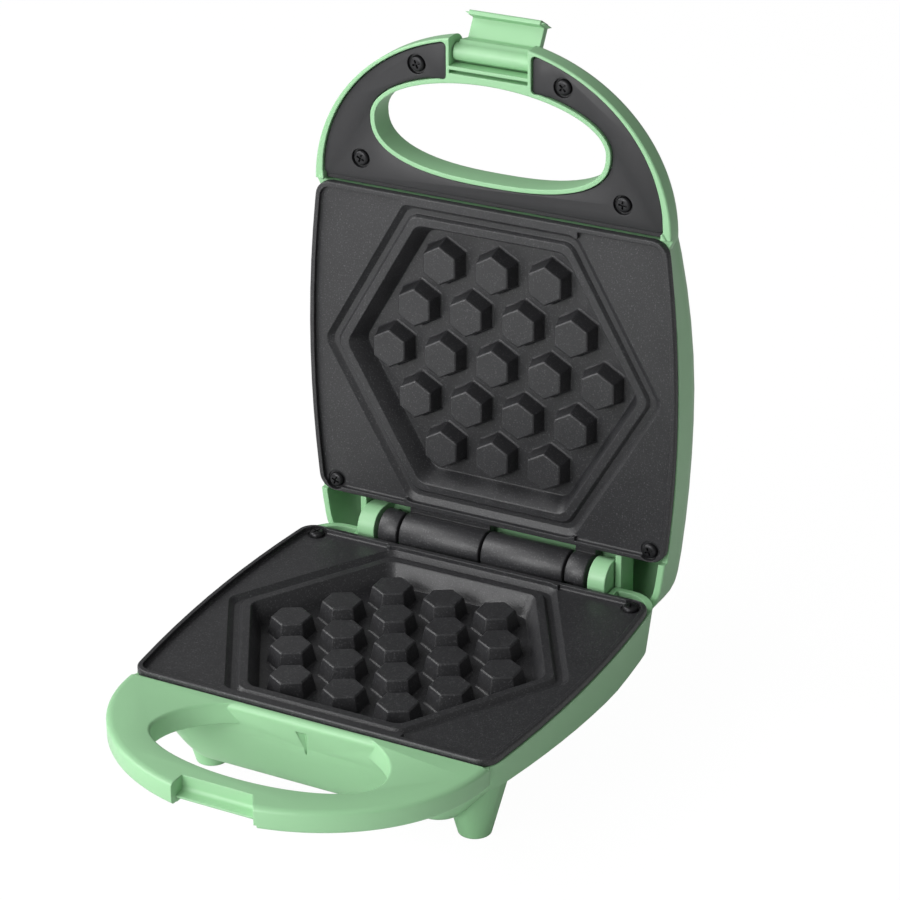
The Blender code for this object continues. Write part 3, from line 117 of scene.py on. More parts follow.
STUD_PITCH = 0.020
STUD_FACE = 0.0070
STUD_FOOT = 0.0086
STUD_TOP = 0.0030
STUD_ROWS = (3, 4, 5, 4, 3)
POST_END = 0.0180
POST_RADIUS = 0.0036
POST_SIDE = 0.0150

# Hinge
BARREL_RADIUS = 0.0070
BORE = 0.0023
BORE_LONG = 0.1
SEAM_HALF = 0.0004
KNUCKLE_LONG = 0.0325
KNUCKLE_END = 0.0405
KNUCKLE_NOTCH_WIDTH = 0.0036
KNUCKLE_NOTCH_BEHIND = 0.0010
KNUCKLE_NOTCH_ABOVE = 0.0042
WEB_THICK = 0.0045
WEB_BELOW = 0.0025
EAR_INNER = 0.0420
EAR_OUTER = 0.0485
HINGE_GAP_HALF = 0.0490
HINGE_GAP_DEPTH = 0.0085

# Lower shell
BASE_TOP = 0.0015
BASE_HALF_WIDTH = 0.0706
BASE_REAR = -0.0004
BASE_FRONT = 0.1310
BASE_CORNER = 0.012
BASE_WALL_FOOT = 0.0200
BASE_SIDE_LEAN = 0.0020
BASE_REAR_LEAN = 0.0010
BASE_FRONT_LEAN = 0.0034
BASE_BELLY = 0.0130
BASE_BELLY_DRAWN = 0.0190
BELLY_SHARE = 0.7
BASE_RISE = 0.0072
BASE_RISE_START = 0.040
BASE_ROLL = 0.0018
FRONT_LEDGE = 0.0054
PLATE_FRONT_GAP = 0.0008
FOOT_BOTTOM = 0.0412
FOOT_TOP = 0.0130
FOOT_RADIUS = 0.0056
FOOT_FLARE = 0.26
FOOT_PLACES = ((0.106, 0.0497), (0.020, 0.0450))
PAD_RECESS = 0.0039
PAD_RECESS_DEEP = 0.0014

# Handles
HANDLE_CENTRE = 0.127
HANDLE_HALF_WIDTH = 0.066
HANDLE_REACH = 0.0578
HANDLE_RISE_SHARE = 0.029
LID_HANDLE_HALF = 0.0667
LID_HANDLE_REACH = 0.0595
HANDLE_ROOT = 0.118
HANDLE_ROOT_HALF = 0.062
BASE_HANDLE_BOTTOM = 0.0091
BASE_HANDLE_ROUND = 0.0026
BASE_HOLE = (0.0413, 0.124, 0.1700, 0.152, 2.0)
HOLE_ROUND = 0.0012
NOTCH_HALF = 0.0154
NOTCH_RAMP_END = 0.0150
NOTCH_WALL = 0.1766
NOTCH_LIP = 0.1806
NOTCH_SHELF = 0.0051
NOTCH_HOLLOW = 0.0014
NOTCH_RAMP_START = 0.0100
NOTCH_LIP_BOTTOM = 0.0061
NOTCH_DEEP = 0.1785
VEE_TOP = 0.0055
VEE_BOTTOM = 0.0150
VEE_HALF = 0.0021
VEE_DEEP = 0.0018
VEE_TIP_SHARE = 0.1

# Upper shell
LID_RIM = 0.0007
LID_SIDE = 0.0120
LID_HALF_WIDTH = 0.0705
LID_REAR = -0.0150
LID_FRONT = 0.1340
LID_CORNER = 0.016
LID_FRONT_CORNER = 0.011
LID_EDGE = 0.016
LID_FRONT_DRAW = 0.0085
LID_CROWN = 0.0320
CROWN_LEAD_SHARE = 0.06
LID_CROWN_START = 0.017
LID_CROWN_END = 0.052
CORNER_ROOM_SHARE = 0.72
LID_RIM_WALL = 0.0024
LID_RIM_STEP = 0.0055
LID_FRONT_LEDGE = 0.0084
LID_FRONT_GAP_HALF = 0.0632
LID_FRONT_GAP_DEEP = 0.0060
LID_HANDLE_FACE = 0.0013
LID_HANDLE_BACK = 0.0120
LID_HANDLE_ROUND = 0.0060
LID_HOLE = (0.0430, 0.1368, 0.1705, 0.1535, 2.5)
COVER_CENTRE = 0.1296
COVER_HALF_WIDTH = 0.0635
COVER_REACH = 0.0555
COVER_ARM_GAP = 0.0160
COVER_HOLE_GROW = 0.0020
COVER_SUNK = 0.0007
COVER_THICK = 0.0024
COVER_EDGE_GAP = 0.0004
COVER_LEDGE = 0.0014
# How far the black lip that paints shade into the gap below the cover is sunk
PAINTED_SHADE_LIP_SUNK = 0.0009
CHANNEL_TOP = 0.0090
COVER_CORNER = 0.0016
COVER_SCREWS = ((-0.027, 0.174), (0.027, 0.174), (-0.049, 0.1372), (0.049, 0.1372))
LIGHT_SIDE = 0.0080
LIGHT_AHEAD = 0.1040
LENS_RADIUS = 0.0031

# Latch and its pocket
LATCH_BARREL = 0.0030
LATCH_HALF = 0.0132
LATCH_TOP_SHARE = 0.3
LATCH_HEEL_SHARE = 0.8
LATCH_HEEL_RISE_SHARE = 0.4
LATCH_BARREL_HALF = 0.0141
LATCH_LIP_HALF = 0.0148
LATCH_REACH = 0.0040
LATCH_THICK = 0.0025
LATCH_DROP = 0.0144
LATCH_HOOK_IN = 0.0039
LATCH_HOOK_TALL = 0.0017
LATCH_SHOULDER = 0.0058
LATCH_HEEL_DROP = 0.0039
LATCH_HEEL_BACK = 0.0013
LATCH_CORNER = 0.0007
LATCH_PIN_BORE = 0.0013
LATCH_PIN_HALF = 0.0175
POCKET_HALF = 0.0145
POCKET_REAR = 0.1755
POCKET_SLOT_REAR = 0.1730
POCKET_SLOT_FRONT = 0.1743
POCKET_SLOT_DEEP = 0.0050

# Screws
SCREW_HEAD = 0.0028
SCREW_HEAD_TALL = 0.0015
SCREW_SHANK = 0.0011
SCREW_LENGTH = 0.0080
COVER_SCREW_LENGTH = 0.0052
SCREW_SLOT_HALF = 0.0016
SCREW_SLOT_WIDE = 0.00036
SCREW_SLOT_DEEP = 0.0009
HEAD_RECESS = 0.0034
HEAD_RECESS_DEEP = 0.0013
PLATE_SCREW_SIDE = 0.0614
PLATE_SCREW_AHEAD = 0.0134

# Rear wall's holes and the lead past the hinge
GLAND_SIDE = 0.0300
GLAND_BELOW = 0.0185
GLAND_HOLE = 0.0043
WALL_HOLE_LONG = 0.008
LEAD_RADIUS = 0.0020
LEAD_SIDE = -0.0200
LEAD_BELOW = 0.0134
LEAD_LID_AHEAD = -0.0090
LEAD_INSIDE = 0.0038

# Softened edges that the pieces are drawn with
STUD_SOFT = 0.0004
STUD_CORNER = 0.0006
GROOVE_SOFT = 0.0004
FLOOR_SOFT = 0.0009
KNUCKLE_SOFT = 0.0006
LID_SOFT = 0.0004
COVER_SOFT = 0.0003
HEAD_ROUND_SHARE = 0.35
SLOT_TAPER_SHARE = 0.8
SCREW_TURN = math.radians(22)

# Finishes
COATING_COLOUR = (0.024, 0.024, 0.026)
FLECK_COLOUR = (0.12, 0.12, 0.125)
GREEN_COLOUR = (0.305, 0.570, 0.315)
GREEN_DEPTH = 0.06
GREEN_DEPTH_REACH = (0.002, 0.003, 0.002)
CLOUD_LOW = 0.3
CLOUD_HIGH = 0.7
PLAIN_DRIFT = 0.05
PLAIN_GRAIN = 0.00002
GRAIN_FINER = 30
BEVEL_SAMPLES = 6

# Studio: each lamp's azimuth, elevation, distance, size and power
WHITE = (1, 1, 1, 1)
FLOOR_HALF = 4.0
FLOOR_SHADE = (0.8, 0.8, 0.8, 1)
FLOOR_ROUGHNESS = 0.7
FLOOR_GLOW = 1.03
FLOOR_WHITE_SHARE = 0.95
SKY_STRENGTH = 0.26
LIT_CENTRE = Vector((0, 0, 0.10))
SOFTBOXES = {
    "left": (math.radians(-75), math.radians(35), 1.2, (0.6, 0.9), 8.5),
    "low": (math.radians(-15), math.radians(18), 1.3, (0.8, 0.6), 11.0),
    "middle": (math.radians(-25), math.radians(45), 1.3, (0.8, 0.8), 3.6),
}

# Fineness of round stretches
CORNER_STEPS = 8
STUD_CORNER_STEPS = 3
COVER_CORNER_STEPS = 4
COVER_FIRST_STEP = 3
SIDE_POINTS = 10
ROUND_SIDES = 32
BARREL_SIDES = 64
OVAL_POWER = 2.0
OVAL_STEPS = 72
ROLL_STEPS = 6
HOLE_STEPS = 5
HEAD_STEPS = 9
CURVE_STEPS = 8

# Angles above which an edge stays sharp, in degrees
SHELL_SHARP = 32
PLATE_SHARP = 30
SCREW_SHARP = 40
LEAD_SHARP = 50


# Outlines: lists of (x, ahead)

def rounded(corners, steps=CORNER_STEPS):
    """The outline of a polygon, from corners of (x, ahead, radius)."""
    outline = []
    for index, (x, ahead, radius) in enumerate(corners):
        corner = Vector((x, ahead))
        if radius <= 0:
            outline.append(tuple(corner))
            continue
        back = (Vector(corners[index - 1][:2]) - corner).normalized()
        forth = (Vector(corners[(index + 1) % len(corners)][:2]) - corner).normalized()
        half = back.angle(forth) / 2
        centre = corner + (back + forth).normalized() * (radius / math.sin(half))
        first = corner + back * (radius / math.tan(half)) - centre
        last = corner + forth * (radius / math.tan(half)) - centre
        start = math.atan2(first.y, first.x)
        sweep = (math.atan2(last.y, last.x) - start + math.pi) % (2 * math.pi) - math.pi
        for step in range(steps + 1):
            angle = start + sweep * step / steps
            outline.append(tuple(centre + Vector((math.cos(angle), math.sin(angle))) * radius))
    return outline


def bowed(half_width, rear, front, rear_corner, front_corner, draw=PLATE_FRONT_DRAW):
    """A four-sided outline whose two long sides bow outward as the plate's do."""
    def reach(ahead):
        if ahead > PLATE_WIDEST:
            share = (ahead - PLATE_WIDEST) / (PLATE_FRONT - PLATE_WIDEST)
            return half_width - draw * share * share
        share = (PLATE_WIDEST - ahead) / (PLATE_WIDEST - PLATE_REAR)
        return half_width - PLATE_REAR_DRAW * share * share

    right = [(reach(rear), rear, rear_corner)]
    clear_rear = rear + CORNER_CLEAR_SHARE * rear_corner
    clear_front = front - CORNER_CLEAR_SHARE * front_corner
    for step in range(SIDE_POINTS):
        ahead = clear_rear + (clear_front - clear_rear) * step / (SIDE_POINTS - 1)
        right.append((reach(ahead), ahead, 0))
    right.append((reach(front), front, front_corner))
    left = [(-x, ahead, radius) for x, ahead, radius in reversed(right)]
    return rounded(right + left)


def plate_outline(inset):
    corner = PLATE_CORNER - inset
    return bowed(PLATE_HALF_WIDTH - inset, PLATE_REAR + inset, PLATE_FRONT - inset, corner, corner)


def six_sided(x, ahead, radius, start, corner, steps=CORNER_STEPS):
    """A hexagon whose first vertex lies at a start angle in degrees."""
    corners = []
    for side in range(6):
        angle = math.radians(start + 60 * side)
        corners.append((x + radius * math.cos(angle), ahead + radius * math.sin(angle), corner))
    return rounded(corners, steps)


def hexagon(apothem):
    """A hexagon round the pattern's centre, with vertices to the left and right."""
    return six_sided(0, PATTERN_CENTRE, apothem / math.cos(math.radians(30)), 0, PATTERN_CORNER)


def rectangle(left, right, near, far):
    return [(left, near), (right, near), (right, far), (left, far)]


def circle(radius, sides):
    turns = [2 * math.pi * side / sides for side in range(sides)]
    return [(radius * math.cos(turn), radius * math.sin(turn)) for turn in turns]


def oval(half_width, near, far, widest, flat):
    """A handle's opening: a half ellipse on the far side, a flatter one on the near side."""
    outline = []
    for step in range(OVAL_STEPS):
        angle = 2 * math.pi * step / OVAL_STEPS
        across = math.cos(angle)
        along = math.sin(angle)
        power = OVAL_POWER / flat if along < 0 else 1
        x = half_width * math.copysign(abs(across) ** power, across)
        reach = far - widest if along > 0 else widest - near
        outline.append((x, widest + reach * math.copysign(abs(along) ** power, along)))
    return outline


def handle_outline(inset, half_width=HANDLE_HALF_WIDTH, far=HANDLE_REACH):
    """The loop handle's outer edge, with its root inside the shell."""
    outline = [(HANDLE_ROOT_HALF, HANDLE_ROOT)]
    for step in range(OVAL_STEPS + 1):
        angle = math.pi * step / OVAL_STEPS
        x = (half_width - inset) * math.cos(angle)
        outline.append((x, HANDLE_CENTRE + (far - inset) * math.sin(angle)))
    outline.append((-HANDLE_ROOT_HALF, HANDLE_ROOT))
    return outline


def cover_outline(grow):
    """The horseshoe of the handle's cover, grown all round by one distance."""
    corner = COVER_CORNER
    half_width = COVER_HALF_WIDTH + grow
    reach = COVER_REACH + grow
    arm = COVER_ARM_GAP - grow
    half, near, far, widest, flat = LID_HOLE
    spread = COVER_HOLE_GROW - grow
    hole = oval(half + spread, near - spread, far + spread, widest, flat)
    start = math.acos(arm / half_width)
    right = [(half_width, COVER_CENTRE - grow, corner)]
    steps = OVAL_STEPS // 2
    for step in range(COVER_FIRST_STEP, steps + 1):
        angle = start * step / steps
        right.append((half_width * math.cos(angle), COVER_CENTRE + reach * math.sin(angle), 0))
    right[-1] = (*right[-1][:2], corner)
    left = [(-x, ahead, radius) for x, ahead, radius in reversed(right)]
    inner = sorted(
        [point for point in hole if not (abs(point[0]) < arm + corner * 2 and point[1] > widest)],
        key=lambda point: math.atan2(point[0], widest - point[1]),
        reverse=True,
    )
    far = max(ahead for x, ahead in inner)
    inner = [(x, ahead, 0) for x, ahead in inner]
    return rounded(right + [(arm, far, corner)] + inner + [(-arm, far, corner)] + left,
                   COVER_CORNER_STEPS)


# Solids

def place(outline, z):
    return [Vector((x, -ahead, z)) for x, ahead in outline]


def loft(rings):
    """A closed body through rings of equally many points, flat at both ends."""
    bm = bmesh.new()
    rows = [[bm.verts.new(point) for point in ring] for ring in rings]
    for lower, upper in zip(rows, rows[1:]):
        for index, corner in enumerate(lower):
            after = (index + 1) % len(lower)
            bm.faces.new((corner, lower[after], upper[after], upper[index]))
    bm.faces.new(rows[0])
    bm.faces.new(rows[-1])
    bmesh.ops.recalc_face_normals(bm, faces=bm.faces)
    return bm


def extruded(points, shift):
    """A flat outline of points, drawn out along one vector."""
    bm = bmesh.new()
    face = bm.faces.new([bm.verts.new(point) for point in points])
    raised = bmesh.ops.extrude_face_region(bm, geom=[face])
    moved = [item for item in raised["geom"] if isinstance(item, bmesh.types.BMVert)]
    bmesh.ops.translate(bm, vec=shift, verts=moved)
    bmesh.ops.recalc_face_normals(bm, faces=bm.faces)
    return bm


def slab(outline, low, high):
    return extruded(place(outline, low), (0, 0, high - low))


def block(left, right, near, far, low, high):
    return slab(rectangle(left, right, near, far), low, high)


def profile_across(section, left, right):
    """A section of (behind, z) points, drawn out along X."""
    return extruded([(left, y, z) for y, z in section], (right - left, 0, 0))


def cylinder(centre, radius, length, axis="Z", far_radius=None):
    """A cylinder or cone about one axis, from (x, ahead, z) of its middle."""
    turns = {"X": Matrix.Rotation(math.pi / 2, 4, "Y"), "Y": Matrix.Rotation(math.pi / 2, 4, "X")}
    x, ahead, z = centre
    bm = bmesh.new()
    bmesh.ops.create_cone(
        bm,
        cap_ends=True,
        segments=ROUND_SIDES,
        radius1=radius,
        radius2=radius if far_radius is None else far_radius,
        depth=length,
        matrix=Matrix.Translation((x, -ahead, z)) @ turns.get(axis, Matrix.Identity(4)),
    )
    return bm


def upright(x, ahead, radius, low, high, far_radius=None):
    return cylinder((x, ahead, (low + high) / 2), radius, high - low, "Z", far_radius)


def flipped(bm):
    """The same solid upside down, for the lid."""
    bmesh.ops.transform(bm, matrix=Matrix.Diagonal((1, 1, -1, 1)), verts=bm.verts)
    bmesh.ops.reverse_faces(bm, faces=bm.faces)
    return bm


def added(name, data):
    thing = bpy.data.objects.new(name, data)
    bpy.context.scene.collection.objects.link(thing)
    return thing


class Solid:
    """A body under construction. Cuts and joins are applied together when it is finished."""

    def __init__(self, name, bm):
        self.name = name
        self.tools = []
        self.thing = self.make(name, bm)

    def make(self, name, bm):
        mesh = bpy.data.meshes.new(name)
        bm.to_mesh(mesh)
        bm.free()
        return added(name, mesh)

    def boolean(self, operation, other):
        tool = other.realised() if isinstance(other, Solid) else self.make(self.name + "_tool", other)
        self.tools.append(tool)
        modifier = self.thing.modifiers.new(operation, "BOOLEAN")
        modifier.solver = "EXACT"
        modifier.operation = operation
        modifier.object = tool

    def cut(self, other):
        self.boolean("DIFFERENCE", other)

    def join(self, other):
        self.boolean("UNION", other)

    def realised(self, turn=None):
        """The finished object, with its modifiers applied and its tools removed."""
        graph = bpy.context.evaluated_depsgraph_get()
        mesh = bpy.data.meshes.new_from_object(self.thing.evaluated_get(graph))
        for tool in self.tools:
            bpy.data.objects.remove(tool, do_unlink=True)
        self.thing.modifiers.clear()
        self.thing.data = mesh
        if turn:
            mesh.transform(turn)
        return self.thing


def finish_piece(solid, where, body, material, replaced, sharp=SHELL_SHARP):
    """Applies a solid, turns it to rest and hands it to its body."""
    thing = solid.realised(where)
    thing.data.shade_smooth()
    thing.data.set_sharp_from_angle(angle=math.radians(sharp))
    thing.data.materials.clear()
    thing.data.materials.append(material)
    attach(thing, body)
    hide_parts(*replaced)
    return thing


# Cooking plates

def hexagons(levels):
    """A solid through hexagons of (apothem, z)."""
    return loft([place(hexagon(apothem), z) for apothem, z in levels])


def stud_places():
    row_gap = STUD_PITCH * math.sin(math.radians(60))
    for row, count in enumerate(STUD_ROWS):
        ahead = PATTERN_CENTRE + (row - (len(STUD_ROWS) - 1) / 2) * row_gap
        for column in range(count):
            yield (column - (count - 1) / 2) * STUD_PITCH, ahead


def studs():
    """All the six-sided studs as one tool, each with a point toward the front."""
    every = bmesh.new()
    top = -STUD_TOP
    for x, ahead in stud_places():
        rings = []
        for radius, z in (
            (STUD_FOOT + STUD_SOFT, -CAVITY_DEPTH - FUSE),
            (STUD_FOOT + STUD_SOFT, -CAVITY_DEPTH),
            (STUD_FOOT - STUD_SOFT / 2, -CAVITY_DEPTH + STUD_SOFT),
            (STUD_FACE + STUD_SOFT / 4, top - STUD_SOFT),
            (STUD_FACE - STUD_SOFT, top),
        ):
            rings.append(place(six_sided(x, ahead, radius, 30, STUD_CORNER, STUD_CORNER_STEPS), z))
        one = loft(rings)
        mesh = bpy.data.meshes.new("stud")
        one.to_mesh(mesh)
        one.free()
        every.from_mesh(mesh)
        bpy.data.meshes.remove(mesh)
    return every


def knuckles():
    half = SEAM_HALF
    return (half, KNUCKLE_LONG - half), (-KNUCKLE_END, -KNUCKLE_LONG - half)


def knuckle(left, right):
    """A turned knuckle with softened ends."""
    soft = KNUCKLE_SOFT
    rings = []
    for x, radius in (
        (left, BARREL_RADIUS - soft),
        (left + soft / 3, BARREL_RADIUS - soft / 3),
        (left + soft, BARREL_RADIUS),
        (right - soft, BARREL_RADIUS),
        (right - soft / 3, BARREL_RADIUS - soft / 3),
        (right, BARREL_RADIUS - soft),
    ):
        rings.append([Vector((x, y, z)) for y, z in circle(radius, BARREL_SIDES)])
    return loft(rings)


def plate(name, body, where, word):
    made = Solid(name, loft([
        place(plate_outline(0), -PLATE_LIP_TALL),
        place(plate_outline(0), -FIT - PLATE_EDGE),
        place(plate_outline(PLATE_EDGE / 3), -FIT - PLATE_EDGE / 3),
        place(plate_outline(PLATE_EDGE), -FIT / 2),
    ]))
    skirt_foot = -PLATE_FLAT - PLATE_WALL
    inset = PLATE_SKIRT_INSET
    skirt = bowed(PLATE_HALF_WIDTH - inset, PLATE_REAR + inset, PLATE_FRONT - inset, PLATE_CORNER,
                  PLATE_SKIRT_CORNER)
    made.join(slab(skirt, skirt_foot, -PLATE_LIP_TALL + FUSE))
    made.cut(loft([
        place(plate_outline(PLATE_LIP_WIDTH + PLATE_EDGE), -PLATE_FLAT),
        place(plate_outline(PLATE_LIP_WIDTH), -PLATE_FLAT + PLATE_EDGE),
        place(plate_outline(PLATE_LIP_WIDTH), OVERRUN),
    ]))
    for near, far in (
        (PATTERN_CENTRE + GROOVE_OUTER - FUSE, PLATE_FRONT - FUSE),
        (PLATE_REAR + FUSE, PATTERN_CENTRE - GROOVE_OUTER + FUSE),
    ):
        made.join(block(-PLATE_BAR_HALF, PLATE_BAR_HALF, near, far, -PLATE_FLAT - FUSE, -FIT / 2))
    tub_rim = GROOVE_OUTER + CAVITY_WALL / 2
    tub = GROOVE_DEPTH + PLATE_WALL
    underside = CAVITY_DEPTH + CAVITY_WALL
    made.join(hexagons([
        (tub_rim, -PLATE_FLAT - FUSE),
        (tub_rim, -tub),
        (RIM_INNER + CAVITY_WALL, -tub),
        (CAVITY_FLOOR + CAVITY_WALL, -underside),
    ]))
    for left, right in knuckles():
        made.join(block(left, right, FUSE, PLATE_REAR + inset + CAVITY_WALL, -WEB_BELOW - WEB_THICK,
                        -WEB_BELOW))
    soft = GROOVE_SOFT
    made.cut(hexagons([
        (GROOVE_OUTER + soft, OVERRUN),
        (GROOVE_OUTER + soft, -PLATE_FLAT),
        (GROOVE_OUTER, -PLATE_FLAT - soft),
        (GROOVE_FOOT, -GROOVE_DEPTH),
    ]))
    made.join(hexagons([
        (RIM_FOOT, -GROOVE_DEPTH - FUSE),
        (RIM_FOOT, -GROOVE_DEPTH),
        (RIM_OUTER, -RIM_DEPTH - soft / 2),
        (RIM_OUTER - soft / 2, -RIM_DEPTH),
    ]))
    slope = (RIM_INNER - CAVITY_FLOOR) / (CAVITY_DEPTH - RIM_DEPTH)
    made.cut(hexagons([
        (RIM_INNER + soft, -RIM_DEPTH + OVERRUN),
        (RIM_INNER + soft, -RIM_DEPTH),
        (RIM_INNER, -RIM_DEPTH - soft),
        (CAVITY_FLOOR + slope * FLOOR_SOFT, -CAVITY_DEPTH + FLOOR_SOFT),
        (CAVITY_FLOOR - FLOOR_SOFT / 2, -CAVITY_DEPTH),
    ]))
    made.join(studs())
    for left, right in knuckles():
        made.join(knuckle(left, right))
    short_end = knuckles()[1][1]
    made.cut(block(short_end - KNUCKLE_NOTCH_WIDTH, short_end + OVERRUN, -BARREL_RADIUS - OVERRUN,
                   -KNUCKLE_NOTCH_BEHIND, KNUCKLE_NOTCH_ABOVE, BARREL_RADIUS + OVERRUN))
    made.cut(cylinder(((KNUCKLE_LONG - KNUCKLE_END) / 2, 0, 0), BORE, BORE_LONG, "X"))
    for side in (-1, 1):
        made.cut(upright(side * PLATE_SCREW_SIDE, PLATE_SCREW_AHEAD, HEAD_RECESS, -PLATE_FLAT - FIT,
                         OVERRUN))
        made.cut(upright(side * PLATE_SCREW_SIDE, PLATE_SCREW_AHEAD, SCREW_SHANK + FIT,
                         skirt_foot - OVERRUN, OVERRUN))
        made.join(upright(side * POST_SIDE, PATTERN_CENTRE, POST_RADIUS, -POST_END, -underside + FUSE))
    return finish_piece(made, where, body, COATING, [word + "_plate"],
                        PLATE_SHARP)


# Lower shell

def base_ring(z, side, front, rear, rise=0):
    """A level of the lower shell. The foot of its wall rises toward the front."""
    corner = BASE_CORNER - rear / 2
    outline = bowed(BASE_HALF_WIDTH - side, BASE_REAR + rear, BASE_FRONT - front, corner, corner)
    ring = place(outline, z)
    for point in ring:
        share = (-point.y - BASE_RISE_START) / (PLATE_FRONT - BASE_RISE_START)
        point.z += rise * min(max(share, 0), 1)
    return ring


def base_rings(wall, top):
    """The lower shell's outer or inner surface, from its rim down."""
    ledge = FRONT_LEDGE if wall else 0
    roll = 0 if wall else BASE_ROLL
    rings = [
        base_ring(top, wall, max(roll, ledge), wall),
        base_ring(-BASE_TOP - BASE_ROLL, wall, ledge, wall),
    ]
    if not wall:
        turns = [math.radians(90 * step / ROLL_STEPS) for step in range(1, ROLL_STEPS)]
        rings[1:1] = [
            base_ring(top - BASE_ROLL * (1 - math.cos(turn)), 0, BASE_ROLL * (1 - math.sin(turn)), 0)
            for turn in turns
        ]
    belly = BASE_BELLY - wall
    for step in range(2 * CORNER_STEPS + 1):
        down = math.sin(math.pi / 2 * step / (2 * CORNER_STEPS))
        drawn = belly * (1 - math.sqrt(1 - down * down)) + wall
        rings.append(base_ring(
            -BASE_WALL_FOOT - belly * down,
            BASE_SIDE_LEAN + BASE_BELLY_DRAWN * down ** BELLY_SHARE + wall,
            BASE_FRONT_LEAN + drawn,
            BASE_REAR_LEAN + drawn,
            BASE_RISE * (1 - down) ** 2,
        ))
    return rings


def foot_places():
    for ahead, half_spacing in FOOT_PLACES:
        for side in (-1, 1):
            yield side * half_spacing, ahead


def sloped(bm):
    """The same solid rising a little on its way forward, as the base's handle does."""
    lift = Matrix.Identity(4)
    lift[2][1] = -HANDLE_RISE_SHARE
    lift[2][3] = -HANDLE_RISE_SHARE * PLATE_FRONT
    bmesh.ops.transform(bm, matrix=lift, verts=bm.verts)
    return bm


def opening(hole, grow, z, near_grow=0):
    """One level of the hand's opening through a handle."""
    half, near, far, widest, flat = hole
    return place(oval(half + grow, near - near_grow, far + grow, widest, flat), z)


def base_handle():
    """The loop handle, with the hand's opening through it."""
    bottom = -BASE_HANDLE_BOTTOM
    rounds = BASE_HANDLE_ROUND
    rings = []
    for step in range(ROLL_STEPS + 1):
        turn = math.radians(90 * step / ROLL_STEPS)
        rings.append(place(handle_outline(rounds / 2 * (1 - math.sin(turn))),
                           bottom + rounds / 2 * (1 - math.cos(turn))))
    for step in range(CORNER_STEPS + 1):
        turn = math.radians(90 * step / CORNER_STEPS)
        rings.append(place(handle_outline(rounds * (1 - math.cos(turn))),
                           -BASE_TOP - rounds / 2 * (1 - math.sin(turn))))
    made = Solid("base_handle", sloped(loft(rings)))
    soft = HOLE_ROUND
    rings = [opening(BASE_HOLE, 0, bottom - OVERRUN)]
    for step in range(HOLE_STEPS):
        turn = math.radians(90 * step / HOLE_STEPS)
        rings.append(opening(BASE_HOLE, soft * (1 - math.cos(turn)),
                             -BASE_TOP - soft * (1 - math.sin(turn))))
    rings.append(opening(BASE_HOLE, 2 * soft, -BASE_TOP + soft / 4))
    rings.append(opening(BASE_HOLE, 2 * soft, -BASE_TOP + OVERRUN))
    made.cut(sloped(loft(rings)))
    return made


def ear(left, right):
    """A round-ended ear on the hinge axis, standing on the floor of the barrel's gap."""
    steps = BARREL_SIDES // 2
    section = []
    for step in range(steps + 1):
        angle = math.pi * step / steps
        section.append((BARREL_RADIUS * math.cos(angle), BARREL_RADIUS * math.sin(angle)))
    foot = -HINGE_GAP_DEPTH - FUSE
    return profile_across(section + [(-BARREL_RADIUS, foot), (BARREL_RADIUS, foot)], left, right)


def hinge_wall():
    """What keeps the shell closed under the barrel, taken out of its hollow."""
    side = HINGE_GAP_HALF + WALL
    return block(-side, side, LID_REAR - OVERRUN, PATTERN_CENTRE - GROOVE_OUTER - FIT - WALL,
                 -HINGE_GAP_DEPTH - WALL, OVERRUN)


def base_housing():
    made = Solid("green_base", loft(base_rings(0, -BASE_TOP)))
    made.join(base_handle())
    flare = FOOT_FLARE * (FOOT_BOTTOM - FOOT_TOP)
    for x, ahead in foot_places():
        made.join(upright(x, ahead, FOOT_RADIUS, -FOOT_BOTTOM, -FOOT_TOP, FOOT_RADIUS + flare))
    hollow = Solid("base_hollow", loft(base_rings(WALL, OVERRUN)))
    hollow.cut(hinge_wall())
    made.cut(hollow)
    for x, ahead in foot_places():
        made.cut(upright(x, ahead, PAD_RECESS, -FOOT_BOTTOM - OVERRUN, -FOOT_BOTTOM + PAD_RECESS_DEEP))
    wide = BASE_HALF_WIDTH + OVERRUN
    made.cut(block(-wide, wide, LID_REAR - OVERRUN, PLATE_FRONT + PLATE_FRONT_GAP,
                   -PLATE_LIP_TALL - FIT, OVERRUN))
    made.cut(block(-HINGE_GAP_HALF, HINGE_GAP_HALF, LID_REAR - 2 * OVERRUN,
                   PATTERN_CENTRE - GROOVE_OUTER - FIT, -HINGE_GAP_DEPTH, 2 * OVERRUN))
    made.join(ear(EAR_INNER, EAR_OUTER))
    cut_latch_notch(made)
    cut_front_groove(made)
    made.cut(cylinder((GLAND_SIDE, BASE_REAR, -GLAND_BELOW), GLAND_HOLE, WALL_HOLE_LONG, "Y"))
    made.cut(cylinder((LEAD_SIDE, BASE_REAR, -LEAD_BELOW), LEAD_RADIUS + FIT, WALL_HOLE_LONG, "Y"))
    return finish_piece(made, BASE_AT_REST, "base", GREEN, ["base_housing"])


def notch_ring(wall, z):
    """One level of the space before the handle's set-back wall, with its ramp on the right."""
    past = HANDLE_CENTRE + LID_HANDLE_REACH + OVERRUN
    slope = (NOTCH_RAMP_END - NOTCH_RAMP_START) / (HANDLE_CENTRE + HANDLE_REACH - NOTCH_WALL)
    ramp = NOTCH_RAMP_START + slope * (wall - NOTCH_WALL)
    far = NOTCH_RAMP_START + slope * (past - NOTCH_WALL)
    return place([(-NOTCH_HALF, wall), (ramp, wall), (far, past), (-NOTCH_HALF, past)], z)


